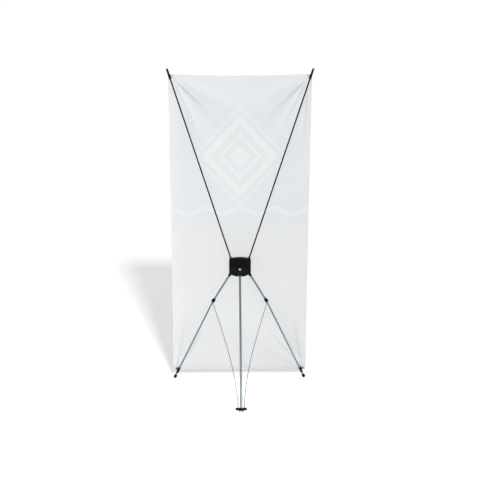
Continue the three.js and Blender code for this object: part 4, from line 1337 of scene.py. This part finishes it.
def knuckle(name, size, inserted, place):
    """A knuckle whose barrel runs up its frame's Y from the pin."""
    height = CAVITY - RUNNING
    body = bar(name, size.eye, -height, height, EYE_EASE, place @ lying)
    radius, reach = size.barrel, size.reach
    rim = [
        (radius - size.rim_in * (1 - cosine), reach - size.rim_along * (1 - sine))
        for sine, cosine in quarter_arc(RIM_STEPS)
    ]
    joined(body, lathe("barrel", [(0, 0), (radius, 0), *rim, (0, reach)], place))
    return cut(
        body, bar("bore", inserted + SEAT, BORE_START, reach + OVERRUN, 0, place),
        bar("pin bore", PIN_BORE, -CAVITY, CAVITY, 0, place @ lying),
    )


def pin(name, half, node_name, place):
    made = bar(name, PIN.radius, -half, half, PIN.ease, place)
    seated(made, "hub", "steel", node_name)


half_turn = Matrix.Rotation(math.pi, 4, "Z")
for side_name, _ in SIDES:
    for limb, key, size, inserted, turn in (
        ("pole", "pole", POLE_KNUCKLE, POLE_ROD, Matrix.Identity(4)),
        ("leg", "upper", LEG_KNUCKLE, UPPER_TUBE, half_turn),
    ):
        name, place = f"{side_name}_{limb}", limbs[side_name, key][0]
        made = knuckle(f"{name}_socket", size, inserted, place @ turn)
        seated(made, name, "moulded_black", f"{name}_knuckle")
        pin(f"{name}_pin", PIN.cross_half, f"{name}_pivot_pin", place @ lying)

r = REAR_KNUCKLE
across_place = rear_place @ Matrix.Rotation(math.pi / 2, 4, "Z")
rear_eye = bar("rear_socket", r.eye, -r.half, r.half, r.ease, across_place)
joined(rear_eye, bar("plug", r.plug, -r.plug_reach, 0, r.ease, rear_place))
cut(rear_eye, bar("pin bore", PIN_BORE, -2 * r.half, 2 * r.half, 0, across_place))
seated(rear_eye, "rear_leg", "steel", "rear_leg_knuckle", SHADED_HINGE_STEEL)
pin("rear_pin", PIN.rear_half, "rear_leg_pivot_pin", across_place)
print("hub crease at", [round(c, 4) for c in crease])

# %% [markdown]
# A domed rivet goes through the middle of the hub, and four cross-head screws hold its
# shells from the printed side. Both are turned profiles; a screw's cross is cut into its
# head by two thin blades.

# %% Rivet and screws
HUB_HALF = 0.011
RIVET = SimpleNamespace(
    down=0.013, shank=0.003, head=0.00725, rise=0.0026, tail=0.0055,
    tail_rise=0.0016, panel=0.002, ease=0.0004,
)
SCREW = SimpleNamespace(
    x_upper=0.020, x_lower=0.025, up=0.037, head=0.0035, rise=0.0024,
    sunk=0.003, shank=0.0016, length=0.015, ease=0.0005,
    cross_wide=0.0003, cross_long=0.0019, cross_deep=0.0013,
)
HEAD_STEPS = 12

v = RIVET
back, front = v.panel - SEAT - HUB_HALF, HUB_HALF + SEAT
dome = [
    (v.head * sine, back - v.rise * cosine) for sine, cosine in quarter_arc(HEAD_STEPS)
]
rivet = lathe("rivet", dome + eased([
    dome[-1], (v.head, back), (v.shank, back), (v.shank, front),
    (v.tail, front), (v.tail, front + v.tail_rise / 2),
    (v.shank, front + v.tail_rise), (0, front + v.tail_rise),
], v.ease)[1:], lower_place @ Matrix.Translation((0, -v.down, 0)) @ lying)
seated(rivet, "hub", "steel", "centre_rivet")


def screw(name, place):
    s = SCREW
    under = HUB_HALF - s.sunk + SEAT
    low, top = under - SEAT - s.length, under + s.rise
    body = lathe(name, eased([
        (0, low), (s.shank / 2, low), (s.shank, low + 2 * s.shank),
        (s.shank, under), (s.head, under), (s.head, under + s.rise / 2),
        (s.head / 2, top), (0, top),
    ], s.ease), place @ lying)
    return cut(body, *(
        block("blade", (-a, -b, top - s.cross_deep), (a, b, top + OVERRUN), place)
        for a, b in ((s.cross_wide, s.cross_long), (s.cross_long, s.cross_wide))
    ))


for side_name, side in SIDES:
    for level, plane, x, up in (
        ("upper", upper_place, SCREW.x_upper, SCREW.up),
        ("lower", lower_place, SCREW.x_lower, -SCREW.up),
    ):
        made = screw(f"{side_name}_{level}_screw", plane @ Matrix.Translation((side * x, up, 0)))
        seated(made, "hub", "steel", f"{side_name}_{level}_shell_screw")

# %% [markdown]
# The rear foot is a crossbar moulded with a short cup for the leg, two studs under its
# middle and a small boss on each wing for a cord's end. The bar starts as a block whose
# edges a bevel rounds, and the rest is joined to it.

# %% Rear foot
FOOT = SimpleNamespace(
    half_width=0.03175, half_height=0.0062, half_depth=0.0065, round=0.0038,
    round_steps=6, cup=0.0077, cup_above=0.006, cup_below=0.0025,
    cup_ease=0.0009, floor=0.0015, stud=0.00625, stud_out=0.0074,
    stud_ease=0.0008, bore_high=0.02,
)
f = FOOT
foot_place = rear_place @ Matrix.Translation((0, rear_low + f.floor, 0))
foot_point = foot_place.translation
corner = Vector((f.half_width, f.half_depth, f.half_height))
rear_foot = block("rear_crossbar", -corner, corner, Matrix.Translation(foot_point))
joined(softened(rear_foot, f.round, f.round_steps))
bosses, rooms = zip(*(cord_boss(*stay_route(side)[:-3:-1]) for _, side in SIDES))
studs = [
    bar("stud", f.stud, -foot_point.z, 0, f.stud_ease,
        Matrix.Translation((side * f.stud_out, foot_point.y, foot_point.z)) @ lying)
    for _, side in SIDES
]
cup = bar("cup", f.cup, -f.cup_below, f.cup_above, f.cup_ease, foot_place)
joined(rear_foot, cup, *studs, *bosses)
cut(
    rear_foot,
    bar("bore", rear_radius + SEAT, -f.floor - SEAT, f.bore_high, 0, foot_place), *rooms,
)
softened(rear_foot)
seated(rear_foot, "rear_leg", "moulded_black", "rear_foot")
print("rear foot at", [round(c, 4) for c in foot_point])

# %% [markdown]
# The hub's two shells stay as they are packed: their faces are flat or turned about one
# bend, and only want a finish and soft edges. A bevel modifier rounds every sharp edge of
# the solid by a few tenths, which is what catches the light on a real moulding.

# %% Finish for the hub's shells
SHELL_EDGE = 0.0005

for name in ("hub_rear_shell", "hub_front_shell"):
    solid = frame["nodes"][name]
    dress(shade(solid), "moulded_black")
    softened(solid, SHELL_EDGE)
    print(name, len(solid.data.polygons), "faces")

# %% [markdown]
# The studio is a plain white floor that runs out of sight. One broad light stands low
# behind the camera and a little to its right. It throws the sheet's pale shadow back along
# the floor to the left, and only the film stops it, because the photograph shows no shadow
# of the hub or the bars. A second and much wider light, with no shadow, comes from behind
# the camera too; gloss doesn't show it, so it lifts the film and leaves the metal dark.
# The world is seen as pure white and lights much less than it shows, a little more in gloss
# than elsewhere. A white floor also lights what stands on it, and the hub would stop that
# light and leave a dark edge round itself on the film. The photograph has none, so the
# floor sends less light up than its own tone would. In gloss the far floor is dark, as the
# far end of a room is, and that gives the round bars their dark sides.

# %% Floor and light
FLOOR_SIZE = 80.0
FLOOR_DROP = 0.0004
FLOOR_TONES = (0.9, 0.9, 0.9), (0.91, 0.91, 0.91)
FLOOR_MOTTLE = 3.0
BOUNCE_LOST = 0.6
FAR_FLOOR, FAR_FROM = (0.05, 0.05, 0.05), (1.0, 1.8)
KEY_HEIGHT = math.radians(27.6)
KEY_RIGHT = math.radians(10)
KEY_STRENGTH = 2.2
KEY_SOFTNESS = math.radians(5)
FILL_HEIGHT = math.radians(32.3)
FILL_STRENGTH = 3.08
FILL_SOFTNESS = math.radians(50)
AMBIENT = 0.30
CEILING = 0.38
SEEN_WHITE = 1.02

floor = mesh_object("floor", [
    (x * FLOOR_SIZE / 2, y * FLOOR_SIZE / 2, -FLOOR_DROP)
    for x, y in ((-1, -1), (1, -1), (1, 1), (-1, 1))
], [(0, 1, 2, 3)])
paint, shader = finish("floor_paint", 0.9, Specular_IOR_Level=0.0)
place = object_place(shader)
rays = node(shader, "ShaderNodeLightPath").outputs
colour = mixed(noise(place, FLOOR_MOTTLE), *FLOOR_TONES)
colour = mixed(times(rays["Is Diffuse Ray"], BOUNCE_LOST), colour, (0, 0, 0))
far = ranged(axes(place)["Y"], FAR_FROM)
colour = mixed(times(far, rays["Is Glossy Ray"]), colour, FAR_FLOOR)
fed(shader, Base_Color=colour)
floor.data.materials.append(paint)

world = bpy.data.worlds.new("studio")
bpy.context.scene.world = world
world.use_nodes = True
sky = world.node_tree.nodes["Background"]
rays = node(sky, "ShaderNodeLightPath").outputs
shown = ranged(rays["Is Camera Ray"], onto=(AMBIENT, SEEN_WHITE))
raised = times(rays["Is Glossy Ray"], CEILING - AMBIENT)
fed(sky, Color=(1, 1, 1, 1), Strength=plus(shown, raised))


def sun(name, strength, softness, height, right):
    lamp = bpy.data.objects.new(name, bpy.data.lights.new(name, "SUN"))
    lamp.data.energy = strength
    lamp.data.angle = softness
    toward = Vector((
        -math.sin(right) * math.cos(height), math.cos(right) * math.cos(height), math.sin(height),
    ))
    lamp.rotation_mode = "QUATERNION"
    lamp.rotation_quaternion = (-toward).to_track_quat("-Z", "Y")
    bpy.context.scene.collection.objects.link(lamp)
    return lamp


key = sun("key_light", KEY_STRENGTH, KEY_SOFTNESS, KEY_HEIGHT, KEY_RIGHT)
fill = sun("fill_light", FILL_STRENGTH, FILL_SOFTNESS, FILL_HEIGHT, 0)
fill.data.use_shadow = False
fill.visible_glossy = False
blockers = bpy.data.collections.new("key blockers")
for made in film_lengths:
    blockers.objects.link(made)
key.light_linking.blocker_collection = blockers
bpy.context.scene.view_settings.view_transform = "Standard"
print("lights", [(lamp.name, lamp.data.energy) for lamp in (key, fill)])
